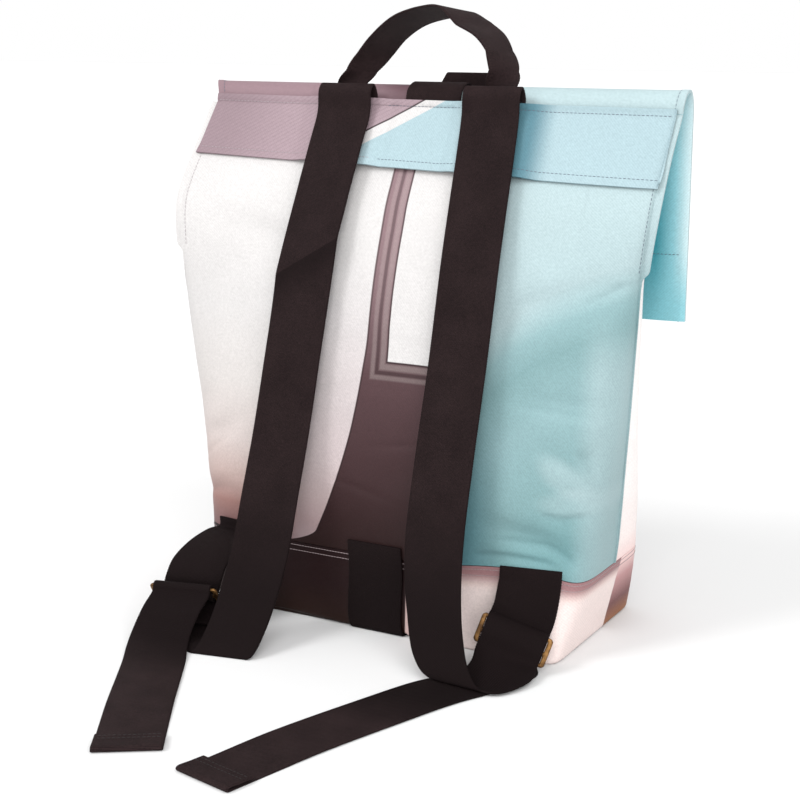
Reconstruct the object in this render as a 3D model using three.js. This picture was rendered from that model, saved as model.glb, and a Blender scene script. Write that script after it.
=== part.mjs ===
// A rucksack sewn from printed banner cloth, with black webbing straps, standing on its boxed base.
// Millimetres, +Z up. The carrying side faces -Y, +X is to the right as one looks at that side,
// and the origin is on the floor under the middle of the base.
import * as THREE from 'three';

// Driving dimensions
const CLOTH = 1.6; // thickness of the banner cloth
const GAP = 0.3; // clearance between neighbouring pieces
const WEBBING = { width: 50, thick: 1.8, step: 10 };
const LAYER = WEBBING.thick + GAP; // one thickness of webbing with its clearance
const SEAM_Z = 64; // height of the seam between the boxed base and the panels
const SEAM_GAP = 2 * GAP; // clearance between the base's rim and the panels
// Bow of the back seam towards the right corner, and the height at which the cloth above it is level
const SEAM_RISE = { height: 9, fromX: 30, fullX: 120, fadeX: 140, endX: 176, fadeZ: 150 };
const PANEL_TOP_Z = 424; // upper edge of the back panel, covered by the band
const MOUTH_Z = 421; // upper edge of the front panel, the rim of the mouth
const CREST_RISE = 17.7; // rise of the top fold above the back panel
const FLAP = { left: 215, right: 219, hemZ: 259, edgeY: 25, stand: 3, fullness: 2.4 };
const FLAP_CORNER = { lift: 4, power: 4 }; // rise of the flap's hem towards its corners
const FLAP_STEPS = { arc: 8, hang: 7 };
const BAND = {
  top: { left: -206, right: 212, leftZ: 431, rightZ: 428 },
  bottom: { left: -211, right: 206, leftZ: 381, rightZ: 369 },
};
const HEM = 22; // length of a turned and sewn webbing end
const SLIDER = { inside: 51, rim: 4, thick: 2.4, bar: 3, anchorSlot: 9, tailSlot: 6, corner: 2 };

// Sack levels: half widths to each side seam, the back, front and seam lines, and how square it is
const SECTIONS = [
  { z: 0, left: 162, right: 161, back: -83, front: 78, seamLeft: 0, seamRight: 0, power: 22 },
  { z: 32, left: 172, right: 168, back: -82, front: 78, seamLeft: -1, seamRight: -1, power: 12 },
  { z: SEAM_Z, left: 182, right: 176, back: -80, front: 77, seamLeft: -4, seamRight: -2, power: 6.5 },
  { z: 110, left: 191, right: 182, back: -80, front: 72, seamLeft: -10, seamRight: -8, power: 4.8 },
  { z: 160, left: 198, right: 187, back: -78, front: 63, seamLeft: -22, seamRight: -13, power: 3.6 },
  { z: 210, left: 204, right: 191, back: -74, front: 54, seamLeft: -36, seamRight: -16, power: 3 },
  { z: 260, left: 207, right: 195, back: -66, front: 44, seamLeft: -48, seamRight: -20, power: 2.6 },
  { z: 302, left: 207, right: 198, back: -56, front: 36, seamLeft: -54, seamRight: -22, power: 2.3 },
  { z: 345, left: 209, right: 203, back: -40, front: 31, seamLeft: -50, seamRight: -19, power: 2.2 },
  { z: 390, left: 210, right: 206, back: -17, front: 27, seamLeft: -18, seamRight: -4, power: 2.2 },
  { z: PANEL_TOP_Z, left: 209, right: 210, back: -1, front: 23, seamLeft: 6, seamRight: 7, power: 2.2 },
];

// Columns of the cloth, as shares of the half width, closer together towards the side seam
const BACK_SHARES = [0, 0.13, 0.26, 0.38, 0.5, 0.61, 0.71, 0.79, 0.86, 0.915, 0.955, 0.985, 1];
const FRONT_SHARES = [0, 0.25, 0.48, 0.67, 0.81, 0.91, 0.965, 1];
const BASE_SHARES = BACK_SHARES.slice(0, -1);
const BASE_LEVELS = [0, 0.25, 0.5, 0.75, 1];
const BASE_SQUARENESS = 6; // how late along the width the tray's inner wall turns in

// Rows of the cloth between its lower and upper edges, as heights
const BACK_LEVELS = [
  88, 110, 130, 150, 170, 190, 210, 230, 250, 270, 286, 299, 307, 322, 338, 352, 370, 390, 408,
];
const FRONT_LEVELS = [90, 120, 155, 190, 225, 260, 295, 320, 345, 370, 396];

// Hemmed edge of the lid part of the back panel, beside the upper side seams
const FLANGE = { low: 1.2, high: 6.5, fromZ: 299, toZ: 307 };
const FLAT_FROM_Z = 220; // height from which the front panel is set further from the side seams

// Dents and folds of the back: middle, depth, reach along and across the fold, and its slope
const DENTS = [
  { x: 140, z: 284, depth: 6, along: 62, across: 12, slope: 20 },
  { x: 165, z: 145, depth: 4, along: 26, across: 9, slope: -45 },
  { x: 160, z: 204, depth: 3, along: 34, across: 10, slope: -6 },
  { x: 138, z: 92, depth: 4, along: 38, across: 11, slope: -14 },
  { x: -166, z: 148, depth: 3, along: 28, across: 9, slope: 30 },
  { x: -172, z: 96, depth: 3, along: 24, across: 8, slope: 12 },
  { x: -120, z: 318, depth: 4, along: 60, across: 14, slope: -12 },
];

// Groove under the base in which the closing strap runs
const GROOVE = { left: -25, right: 29, bevel: 0.8, depth: LAYER };

// Lifts of the band over the webbing sewn in behind it: middle, layers of webbing, ramp beside it
const STRAP_X = { left: -68, right: 66, closing: 8 };
const BAND_LIFTS = [
  { x: STRAP_X.left, layers: 2 },
  { x: STRAP_X.closing, layers: 1 },
  { x: STRAP_X.right, layers: 2 },
];
const LIFT_RAMP = 22;
const LIFT_MARGIN = 2; // how far a lift reaches past the webbing before it comes down
const BAND_STAND = 3 * GAP; // clearance of the band from the back panel
const BAND_GRID = { columns: 70, rows: 5 };

const COLOURS = {
  cream: 0xe9e2de,
  aqua: 0x9cd0d2,
  mauve: 0x6f5a63,
  brown: 0x4d3437,
  webbing: 0x1c1719,
  bronze: 0x7a5c33,
};
const FINISHES = {
  back: { color: COLOURS.aqua, roughness: 0.5, metalness: 0 },
  front: { color: COLOURS.cream, roughness: 0.5, metalness: 0 },
  base: { color: COLOURS.brown, roughness: 0.5, metalness: 0 },
  flap: { color: COLOURS.aqua, roughness: 0.5, metalness: 0 },
  band: { color: COLOURS.mauve, roughness: 0.5, metalness: 0 },
  webbing: { color: COLOURS.webbing, roughness: 0.9, metalness: 0 },
  slider: { color: COLOURS.bronze, roughness: 0.4, metalness: 1 },
};

const rucksack = new THREE.Group();

function addPiece(name, geometry, finish) {
  const mesh = new THREE.Mesh(geometry, new THREE.MeshStandardMaterial(finish));
  mesh.name = name;
  rucksack.add(mesh);
}

// Value of one column of SECTIONS at a height, on a smooth curve through the rows
function sectionValue(column, z) {
  const last = SECTIONS.length - 1;
  let i = 0;
  while (i < last - 1 && z > SECTIONS[i + 1].z) i += 1;
  const slopeAt = (k) => {
    const before = SECTIONS[Math.max(k - 1, 0)];
    const after = SECTIONS[Math.min(k + 1, last)];
    return (after[column] - before[column]) / (after.z - before.z);
  };
  const a = SECTIONS[i];
  const b = SECTIONS[i + 1];
  const span = b.z - a.z;
  const t = (z - a.z) / span;
  const bulge = (1 - t) * (1 - t) * t * slopeAt(i) - t * t * (1 - t) * slopeAt(i + 1);
  return a[column] + (b[column] - a[column]) * t * t * (3 - 2 * t) + bulge * span;
}

function dentDepth(x, z) {
  return DENTS.reduce((sum, dent) => {
    const turn = THREE.MathUtils.degToRad(dent.slope);
    const u = (x - dent.x) * Math.cos(turn) + (z - dent.z) * Math.sin(turn);
    const v = (z - dent.z) * Math.cos(turn) - (x - dent.x) * Math.sin(turn);
    return sum + dent.depth * Math.exp(-((u / dent.along) ** 2) - (v / dent.across) ** 2);
  }, 0);
}

// How far the front panel's edge stays in front of the seam line, more where the sack is flat
function frontSeamStep(z) {
  return CLOTH + GAP + (CLOTH + 2 * GAP) * THREE.MathUtils.smoothstep(z, FLAT_FROM_Z, FLANGE.fromZ);
}

// Rise of the cloth round the back seam, which bows upwards towards the right corner
function seamRise(x, z) {
  const { smoothstep } = THREE.MathUtils;
  const { height, fromX, fullX, fadeX, endX, fadeZ } = SEAM_RISE;
  const level = z < SEAM_Z ? z / SEAM_Z : 1 - smoothstep(z, SEAM_Z, fadeZ);
  return height * level * smoothstep(x, fromX, fullX) * (1 - smoothstep(x, fadeX, endX));
}

// Point of the sack's skin at a share of the half width, from -1 at the left seam to 1 at the right
function sackPoint(share, z, face) {
  const side = share < 0 ? 'left' : 'right';
  const seamColumn = share < 0 ? 'seamLeft' : 'seamRight';
  const half = sectionValue(side, z);
  const power = sectionValue('power', z);
  const step = face === 'front' && z > SEAM_Z ? frontSeamStep(z) : 0;
  const seam = sectionValue(seamColumn, z) + step;
  const fullness = Math.max(1 - Math.abs(share) ** power, 0) ** (1 / power);
  const x = share * half;
  const inward = face === 'back' && z > SEAM_Z ? dentDepth(x, z) * fullness : 0;
  const y = seam + (sectionValue(face, z) - seam) * fullness + inward;
  return new THREE.Vector3(x, y, face === 'back' ? z + seamRise(x, z) : z);
}

// Where a sheet's thickness lies: the share of it that stands outside the grid
const UNDER_SKIN = 0;
const CENTRED = 0.5;

// Closed solid of a grid of points: a sheet of the given thickness, under the grid or centred on it.
// The grid's rows and columns run so that its normals point outwards.
function sheetSolid(grid, thick, outside) {
  const rows = grid.length;
  const columns = grid[0].length;
  const near = (i, n) => [Math.max(i - 1, 0), Math.min(i + 1, n - 1)];
  const outer = [];
  const inner = [];
  for (let j = 0; j < rows; j += 1) {
    for (let i = 0; i < columns; i += 1) {
      const [i0, i1] = near(i, columns);
      const [j0, j1] = near(j, rows);
      const across = grid[j][i1].clone().sub(grid[j][i0]);
      const along = grid[j1][i].clone().sub(grid[j0][i]);
      const normal = across.cross(along).normalize();
      outer.push(grid[j][i].clone().addScaledVector(normal, thick * outside));
      inner.push(grid[j][i].clone().addScaledVector(normal, thick * (outside - 1)));
    }
  }
  const count = rows * columns;
  const at = (j, i, layer) => layer * count + j * columns + i;
  const faces = [];
  const quad = (a, b, c, d) => faces.push(a, b, c, a, c, d);
  for (let j = 0; j < rows - 1; j += 1) {
    for (let i = 0; i < columns - 1; i += 1) {
      quad(at(j, i, 0), at(j, i + 1, 0), at(j + 1, i + 1, 0), at(j + 1, i, 0));
      quad(at(j, i, 1), at(j + 1, i, 1), at(j + 1, i + 1, 1), at(j, i + 1, 1));
    }
  }
  for (let i = 0; i < columns - 1; i += 1) {
    quad(at(0, i + 1, 0), at(0, i, 0), at(0, i, 1), at(0, i + 1, 1));
    quad(at(rows - 1, i, 0), at(rows - 1, i + 1, 0), at(rows - 1, i + 1, 1), at(rows - 1, i, 1));
  }
  for (let j = 0; j < rows - 1; j += 1) {
    quad(at(j, 0, 0), at(j + 1, 0, 0), at(j + 1, 0, 1), at(j, 0, 1));
    const i = columns - 1;
    quad(at(j + 1, i, 0), at(j, i, 0), at(j, i, 1), at(j + 1, i, 1));
  }
  return closedGeometry([...outer, ...inner], faces);
}

// Geometry of points and triangles, turned so that its faces point out, and never below the floor
function closedGeometry(points, faces) {
  let volume = 0;
  for (let k = 0; k < faces.length; k += 3) {
    const [a, b, c] = [points[faces[k]], points[faces[k + 1]], points[faces[k + 2]]];
    volume += a.dot(b.clone().cross(c));
  }
  const outward = volume > 0 ? faces : [...faces].reverse();
  const geometry = new THREE.BufferGeometry();
  const positions = points.flatMap((p) => [p.x, p.y, Math.max(p.z, 0)]);
  geometry.setAttribute('position', new THREE.Float32BufferAttribute(positions, 3));
  geometry.setIndex(outward);
  geometry.computeVertexNormals();
  return geometry;
}

function mirrored(shares) {
  return [...shares.slice(1).reverse().map((s) => -s), ...shares];
}

function backPanel() {
  const levels = [SEAM_Z + SEAM_GAP, ...BACK_LEVELS, PANEL_TOP_Z];
  const grid = levels.map((z) => {
    const widening = THREE.MathUtils.smoothstep(z, FLANGE.fromZ, FLANGE.toZ);
    const flange = THREE.MathUtils.lerp(FLANGE.low, FLANGE.high, widening);
    const row = mirrored(BACK_SHARES).map((share) => sackPoint(share, z, 'back'));
    const leftTip = row[0].clone().add(new THREE.Vector3(-flange, 0, 0));
    const rightTip = row[row.length - 1].clone().add(new THREE.Vector3(flange, 0, 0));
    return [leftTip, ...row, rightTip];
  });
  return sheetSolid(grid, CLOTH, UNDER_SKIN);
}

function frontPanel() {
  const levels = [SEAM_Z + SEAM_GAP, ...FRONT_LEVELS, MOUTH_Z];
  const shares = mirrored(FRONT_SHARES).reverse();
  const grid = levels.map((z) => shares.map((share) => sackPoint(share, z, 'front')));
  return sheetSolid(grid, CLOTH, UNDER_SKIN);
}

// Boxed base: an open tray whose floor is raised along the groove for the closing strap
function baseTray() {
  const half = SECTIONS[0].right;
  const grooveXs = [GROOVE.left - GROOVE.bevel, GROOVE.left, GROOVE.right, GROOVE.right + GROOVE.bevel];
  const shares = [...mirrored(BASE_SHARES), ...grooveXs.map((x) => x / half)].sort((a, b) => a - b);
  const slack = GROOVE.bevel / 8;
  const inGroove = (share) => share * half > GROOVE.left - slack && share * half < GROOVE.right + slack;
  const levels = BASE_LEVELS.map((level) => level * SEAM_Z);
  const ring = (z, level, inset, lift) => {
    const rise = (share) => (level === 0 && inGroove(share) ? GROOVE.depth : 0) + lift;
    const edge = (share, face) => {
      const point = sackPoint(share, z, face);
      const inX = Math.sign(share) * inset * Math.abs(share) ** BASE_SQUARENESS;
      const inY = face === 'back' ? inset : -inset;
      return new THREE.Vector3(point.x - inX, point.y + inY, point.z + rise(share));
    };
    const seamTip = (sign) => {
      const tip = sackPoint(sign, z, 'back');
      return new THREE.Vector3(tip.x - sign * inset, tip.y, tip.z + lift);
    };
    return {
      back: shares.map((share) => edge(share, 'back')),
      front: shares.map((share) => edge(share, 'front')),
      left: seamTip(-1),
      right: seamTip(1),
    };
  };
  const outer = levels.map((z, level) => ring(z, level, 0, 0));
  const inner = levels.map((z, level) => ring(z, level, CLOTH, level === 0 ? CLOTH : 0));
  const points = [];
  const faces = [];
  const loops = [...outer, ...inner].map((r) => {
    const loop = [...r.back, r.right, ...[...r.front].reverse(), r.left];
    const start = points.length;
    points.push(...loop);
    return start;
  });
  const n = 2 * shares.length + 2;
  const wall = (lower, upper, flip) => {
    for (let i = 0; i < n; i += 1) {
      const j = (i + 1) % n;
      const [a, b, c, d] = [lower + i, lower + j, upper + j, upper + i];
      faces.push(...(flip ? [a, c, b, a, d, c] : [a, b, c, a, c, d]));
    }
  };
  const floor = (start, flip) => {
    const pairs = shares.map((_, i) => [start + i, start + n - 2 - i]);
    const add = (a, b, c) => faces.push(...(flip ? [a, b, c] : [a, c, b]));
    for (let i = 0; i < pairs.length - 1; i += 1) {
      add(pairs[i][0], pairs[i + 1][0], pairs[i + 1][1]);
      add(pairs[i][0], pairs[i + 1][1], pairs[i][1]);
    }
    add(start + n - 1, pairs[0][0], pairs[0][1]);
    add(pairs[pairs.length - 1][0], start + shares.length, pairs[pairs.length - 1][1]);
  };
  const count = levels.length;
  for (let k = 0; k < count - 1; k += 1) {
    wall(loops[k], loops[k + 1], false);
    wall(loops[count + k], loops[count + k + 1], true);
  }
  wall(loops[count - 1], loops[2 * count - 1], false);
  floor(loops[0], false);
  floor(loops[count], true);
  return closedGeometry(points, faces);
}

// Share of the half width at which the back panel's upper edge passes a given x
function shareAt(x, z) {
  return THREE.MathUtils.clamp(x / sectionValue(x < 0 ? 'left' : 'right', z), -1, 1);
}

function flapHangY(x, z) {
  const reach = Math.min(Math.abs(x) / FLAP.left, 1);
  const full = sectionValue('front', Math.min(z, PANEL_TOP_Z)) + FLAP.stand;
  return FLAP.edgeY + (full - FLAP.edgeY) * (1 - reach ** FLAP.fullness);
}

// Fold over the top at one x: half an ellipse from the back panel's edge to the hanging part
function foldArc(x) {
  const start = sackPoint(shareAt(x, PANEL_TOP_Z), PANEL_TOP_Z, 'back').y;
  const end = flapHangY(x, PANEL_TOP_Z);
  return { middle: (start + end) / 2, reach: (end - start) / 2, foot: PANEL_TOP_Z + GAP };
}

// Outer face of the back, carried on over the lower part of the top fold
function backSkin(x, z) {
  if (z <= PANEL_TOP_Z) return sackPoint(shareAt(x, z), z - seamRise(x, z), 'back').y;
  const arc = foldArc(x);
  const rise = Math.min((z - arc.foot) / CREST_RISE, 1);
  return arc.middle - arc.reach * Math.sqrt(1 - Math.max(rise, 0) ** 2);
}

// Point standing off the back along the back's own normal
function offBack(x, z, stand) {
  const slopeX = (backSkin(x + 1, z) - backSkin(x - 1, z)) / 2;
  const slopeZ = backSkin(x, z + 0.5) - backSkin(x, z - 0.5);
  const normal = new THREE.Vector3(slopeX, -1, slopeZ).normalize();
  return new THREE.Vector3(x, backSkin(x, z), z).addScaledVector(normal, stand);
}

function flapSheet() {
  const shares = mirrored(FRONT_SHARES);
  const edges = { left: sectionValue('left', PANEL_TOP_Z), right: sectionValue('right', PANEL_TOP_Z) };
  const acrossAt = (share, front) => {
    const side = share < 0 ? 'left' : 'right';
    return share * THREE.MathUtils.lerp(edges[side] + FLANGE.high, FLAP[side], front);
  };
  const arcShares = Array.from({ length: FLAP_STEPS.arc + 1 }, (_, k) => k / FLAP_STEPS.arc);
  const over = arcShares.map((share) =>
    shares.map((s) => {
      const x = acrossAt(s, Math.min(2 * share, 1));
      const arc = foldArc(x);
      const angle = Math.PI * (1 - share);
      const y = arc.middle + arc.reach * Math.cos(angle);
      return new THREE.Vector3(x, y, arc.foot + CREST_RISE * Math.sin(angle));
    }),
  );
  const drop = (PANEL_TOP_Z - FLAP.hemZ) / FLAP_STEPS.hang;
  const hangLevels = Array.from({ length: FLAP_STEPS.hang }, (_, k) => PANEL_TOP_Z - drop * (k + 1));
  const hang = hangLevels.map((z) =>
    shares.map((s) => {
      const x = acrossAt(s, 1);
      const down = (PANEL_TOP_Z - z) / (PANEL_TOP_Z - FLAP.hemZ);
      const lift = FLAP_CORNER.lift * Math.abs(s) ** FLAP_CORNER.power * down;
      return new THREE.Vector3(x, flapHangY(x, z), z + lift);
    }),
  );
  return sheetSolid([...over, ...hang], CLOTH, UNDER_SKIN);
}

function bandLift(x) {
  return Math.max(
    ...BAND_LIFTS.map((lift) => {
      const past = Math.abs(x - lift.x) - WEBBING.width / 2 - LIFT_MARGIN;
      return lift.layers * LAYER * (1 - THREE.MathUtils.smoothstep(past, 0, LIFT_RAMP));
    }),
  );
}

function topBand() {
  const { columns, rows } = BAND_GRID;
  const grid = Array.from({ length: rows }, (_, j) =>
    Array.from({ length: columns }, (_unused, i) => {
      const t = i / (columns - 1);
      const up = j / (rows - 1);
      const mix = (column) => THREE.MathUtils.lerp(BAND.bottom[column], BAND.top[column], up);
      const x = THREE.MathUtils.lerp(mix('left'), mix('right'), t);
      const z = THREE.MathUtils.lerp(mix('leftZ'), mix('rightZ'), t);
      return offBack(x, z, BAND_STAND + bandLift(x) + CLOTH);
    }),
  );
  return sheetSolid(grid, CLOTH, UNDER_SKIN);
}

// A place on a webbing's middle line: turn and tip aim its width, in plan from +X and up from level
function place(point, turn = 0, tip = 0, width = WEBBING.width) {
  return { point, turn, tip, width };
}

function places(rows) {
  return rows.map(({ x, y, z, turn, tip, width }) => place(new THREE.Vector3(x, y, z), turn, tip, width));
}

// Strip of webbing along a smooth curve through its places
function webbing(route) {
  const curve = new THREE.CatmullRomCurve3(route.map((p) => p.point), false, 'centripetal');
  const last = route.length - 1;
  const grid = [];
  for (let k = 0; k < last; k += 1) {
    const from = route[k];
    const to = route[k + 1];
    const steps = Math.max(2, Math.round(from.point.distanceTo(to.point) / WEBBING.step));
    for (let s = 0; s < steps + (k === last - 1 ? 1 : 0); s += 1) {
      const t = s / steps;
      const centre = curve.getPoint((k + t) / last);
      const turn = THREE.MathUtils.degToRad(THREE.MathUtils.lerp(from.turn, to.turn, t));
      const tip = THREE.MathUtils.degToRad(THREE.MathUtils.lerp(from.tip, to.tip, t));
      const half = THREE.MathUtils.lerp(from.width, to.width, t) / 2;
      const level = Math.cos(tip);
      const aim = new THREE.Vector3(level * Math.cos(turn), level * Math.sin(turn), Math.sin(tip));
      grid.push([centre.clone().addScaledVector(aim, -half), centre.clone().addScaledVector(aim, half)]);
    }
  }
  return sheetSolid(grid, WEBBING.thick, CENTRED);
}

// Turned end of a webbing: round a small fold and back along itself on the given side
function turnedEnd(route, side) {
  const end = route[route.length - 1];
  const before = route[route.length - 2];
  const ahead = end.point.clone().sub(before.point).normalize();
  const spots = [
    { along: LAYER / 2, off: LAYER / 2 },
    { along: 0, off: LAYER },
    { along: -HEM / 2, off: LAYER },
    { along: -HEM, off: LAYER },
  ];
  const turned = spots.map(({ along, off }) => {
    const point = end.point.clone().addScaledVector(ahead, along).addScaledVector(side, off);
    return place(point, end.turn, end.tip);
  });
  return [...route, ...turned];
}

// Sliders: a frame with two slots; the sewn bar, the middle bar and the tail bar across it.
// A webbing's way through one is given along the frame from the middle bar and off its plane.
const SEWN_BAR = -(SLIDER.anchorSlot + SLIDER.bar);
const TAIL_BAR = SLIDER.tailSlot + SLIDER.bar;
const SLIDERS = {
  right: { centre: [133, -102, 22.5], turn: 16, tip: -19, down: [0, -0.3, -0.95], face: [0, -1, 0] },
  left: { centre: [-142, -153, 30], turn: 14, tip: 0, down: [0, -0.6, 0.8], face: [0, -1, 0] },
  closing: { centre: [10, 58, 216], turn: 0, tip: 0, down: [0, 0.2, -1], face: [0, 1, 0] },
};

function sliderFrame({ centre, turn, tip, down, face }) {
  const t = THREE.MathUtils.degToRad(turn);
  const p = THREE.MathUtils.degToRad(tip);
  const bar = new THREE.Vector3(Math.cos(p) * Math.cos(t), Math.cos(p) * Math.sin(t), Math.sin(p));
  const run = new THREE.Vector3(...down);
  run.addScaledVector(bar, -run.dot(bar)).normalize();
  const normal = bar.clone().cross(run);
  const outward = normal.clone().multiplyScalar(Math.sign(normal.dot(new THREE.Vector3(...face))));
  const origin = new THREE.Vector3(...centre);
  const at = ({ along, off }) => origin.clone().addScaledVector(run, along).addScaledVector(outward, off);
  const thread = (rows) => rows.map((row) => place(at(row), turn, tip));
  return { bar, run, normal, origin, thread };
}

function sliderBody(frame) {
  const halfWide = SLIDER.inside / 2 + SLIDER.rim;
  const low = SEWN_BAR - SLIDER.bar / 2;
  const high = TAIL_BAR + SLIDER.bar / 2;
  const rectangle = (path, x, y0, y1) => {
    path.moveTo(-x, y0);
    path.lineTo(x, y0);
    path.lineTo(x, y1);
    path.lineTo(-x, y1);
    path.closePath();
    return path;
  };
  const outline = new THREE.Shape();
  outline.moveTo(-halfWide + SLIDER.corner, low);
  outline.lineTo(halfWide - SLIDER.corner, low);
  outline.lineTo(halfWide, low + SLIDER.corner);
  outline.lineTo(halfWide, high - SLIDER.corner);
  outline.lineTo(halfWide - SLIDER.corner, high);
  outline.lineTo(-halfWide + SLIDER.corner, high);
  outline.lineTo(-halfWide, high - SLIDER.corner);
  outline.lineTo(-halfWide, low + SLIDER.corner);
  outline.closePath();
  const halfBar = SLIDER.bar / 2;
  const slot = (from, to) => rectangle(new THREE.Path(), SLIDER.inside / 2, from + halfBar, to - halfBar);
  outline.holes.push(slot(SEWN_BAR, 0), slot(0, TAIL_BAR));
  const geometry = new THREE.ExtrudeGeometry(outline, { depth: SLIDER.thick, bevelEnabled: false });
  geometry.translate(0, 0, -SLIDER.thick / 2);
  const basis = new THREE.Matrix4().makeBasis(frame.bar, frame.run, frame.normal);
  geometry.applyMatrix4(basis.setPosition(frame.origin));
  return geometry;
}

// Shoulder strap's top: heights behind the band, at its rim and in front, with the swing away from
// the band there, and the curl over the rim
const STRAP_TOP = {
  tuckedZs: [398, 414],
  rimZ: 429,
  front: { z: 415, swing: 3 },
  cross: { z: 385, swing: 2.5 },
  free: { z: 350, swing: 1 },
};
const STRAP_CURL = [
  { out: 0.4, up: 6 },
  { out: 5, up: 12.5 },
  { out: 10, up: 8 },
];
const STRAP_FREE_X = { left: -70, right: 71 };

function strapTop(x, freeX) {
  const tucked = GAP + LAYER + WEBBING.thick / 2;
  const outside = BAND_STAND + 2 * LAYER + CLOTH + GAP + WEBBING.thick;
  const rim = offBack(x, STRAP_TOP.rimZ, tucked);
  const { front, cross, free } = STRAP_TOP;
  return [
    ...STRAP_TOP.tuckedZs.map((z) => place(offBack(x, z, tucked))),
    place(rim),
    ...STRAP_CURL.map(({ out, up }) => place(rim.clone().add(new THREE.Vector3(0, -out, up)))),
    place(offBack(x, front.z, outside + front.swing)),
    place(offBack((x + freeX) / 2, cross.z, outside + cross.swing)),
    place(offBack(freeX, free.z, outside + free.swing)),
  ];
}

// Free runs of the shoulder straps, from below the band to the sliders
const RIGHT_HANG = [
  { x: 74, y: -64, z: 312 },
  { x: 73, y: -83, z: 232 },
  { x: 69, y: -96, z: 160, turn: 2 },
  { x: 67, y: -107, z: 102, turn: 3 },
  { x: 71, y: -118, z: 69, turn: 0, tip: -2 },
  { x: 80, y: -132, z: 40, turn: -4, tip: -4 },
  { x: 95, y: -150, z: 15, turn: -4, tip: -3 },
  { x: 109, y: -158, z: 5, turn: -5, tip: -1 },
  { x: 121, y: -156, z: 3, turn: -2 },
  { x: 131, y: -143, z: 4.5, turn: 5, tip: -3 },
  { x: 136, y: -127, z: 9, turn: 12, tip: -9 },
];
const LEFT_HANG = [
  { x: -72, y: -66, z: 305, turn: 3 },
  { x: -76, y: -83, z: 238, turn: 5 },
  { x: -83, y: -96, z: 161, turn: 8 },
  { x: -85, y: -110, z: 114, turn: 10 },
  { x: -84, y: -128, z: 70, turn: 12 },
  { x: -82, y: -147, z: 42, turn: 12 },
  { x: -79, y: -171, z: 18, turn: 10 },
  { x: -79, y: -188, z: 4.5, turn: 10 },
  { x: -82, y: -192, z: 1, turn: 11 },
  { x: -97, y: -183, z: 2.6, turn: 13 },
];

function shoulderStraps(frames) {
  const right = [
    ...strapTop(STRAP_X.right, STRAP_FREE_X.right),
    ...places(RIGHT_HANG),
    ...frames.right.thread([
      { along: 11, off: 10 },
      { along: -2, off: 9 },
      { along: -9, off: 6.6 },
      { along: -13.4, off: 3 },
      { along: -15.2, off: 0 },
      { along: -14.2, off: -2.5 },
      { along: -12, off: -3.1 },
      { along: -9.8, off: -2.5 },
      { along: -8.8, off: 0 },
      { along: -7.6, off: 3.6 },
      { along: -1, off: 6.4 },
      { along: 9, off: 7.5 },
    ]),
  ];
  const left = [
    ...strapTop(STRAP_X.left, STRAP_FREE_X.left),
    ...places(LEFT_HANG),
    ...frames.left.thread([
      { along: -11.2, off: 24 },
      { along: -13.8, off: 10 },
      { along: -15.2, off: 2 },
      { along: -14.4, off: -2.3 },
      { along: -12, off: -3.1 },
      { along: -9.7, off: -2.4 },
      { along: -8.9, off: 1 },
      { along: -10.2, off: 9 },
      { along: -7.8, off: 23 },
    ]),
  ];
  addPiece('shoulder_strap_right', webbing(right), FINISHES.webbing);
  addPiece('shoulder_strap_left', webbing(left), FINISHES.webbing);
}

const RIGHT_TAIL = [
  { x: 132, y: -110, z: 4.5, turn: 10, tip: -8 },
  { x: 128, y: -122, z: 1, turn: 2 },
  { x: 119, y: -144, z: 0.9, turn: -9 },
  { x: 103, y: -172, z: 0.9, turn: -18 },
  { x: 82, y: -226, z: 0.9, turn: -20 },
  { x: 57, y: -298, z: 0.9, turn: -18 },
  { x: 35, y: -377, z: 0.9, turn: -12 },
];
const LEFT_TAIL = [
  { x: -140, y: -176, z: 24, turn: 14 },
  { x: -140, y: -190, z: 9, turn: 16 },
  { x: -132, y: -207, z: 3.2, turn: 22 },
  { x: -121, y: -225, z: 1, turn: 26 },
  { x: -104, y: -254, z: 0.9, turn: 29 },
  { x: -81, y: -294, z: 0.9, turn: 31 },
  { x: -38, y: -365, z: 0.9, turn: 33 },
];

// Lower straps' sewn ends: where they lap the base seam, and their turn with the curved corner
const ANCHOR_ROOTS = {
  right: { x: 137, endZ: 76, leaveZ: 65, turn: 11 },
  left: { x: -135, endZ: 74, leaveZ: 66, turn: -7 },
};

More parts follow.
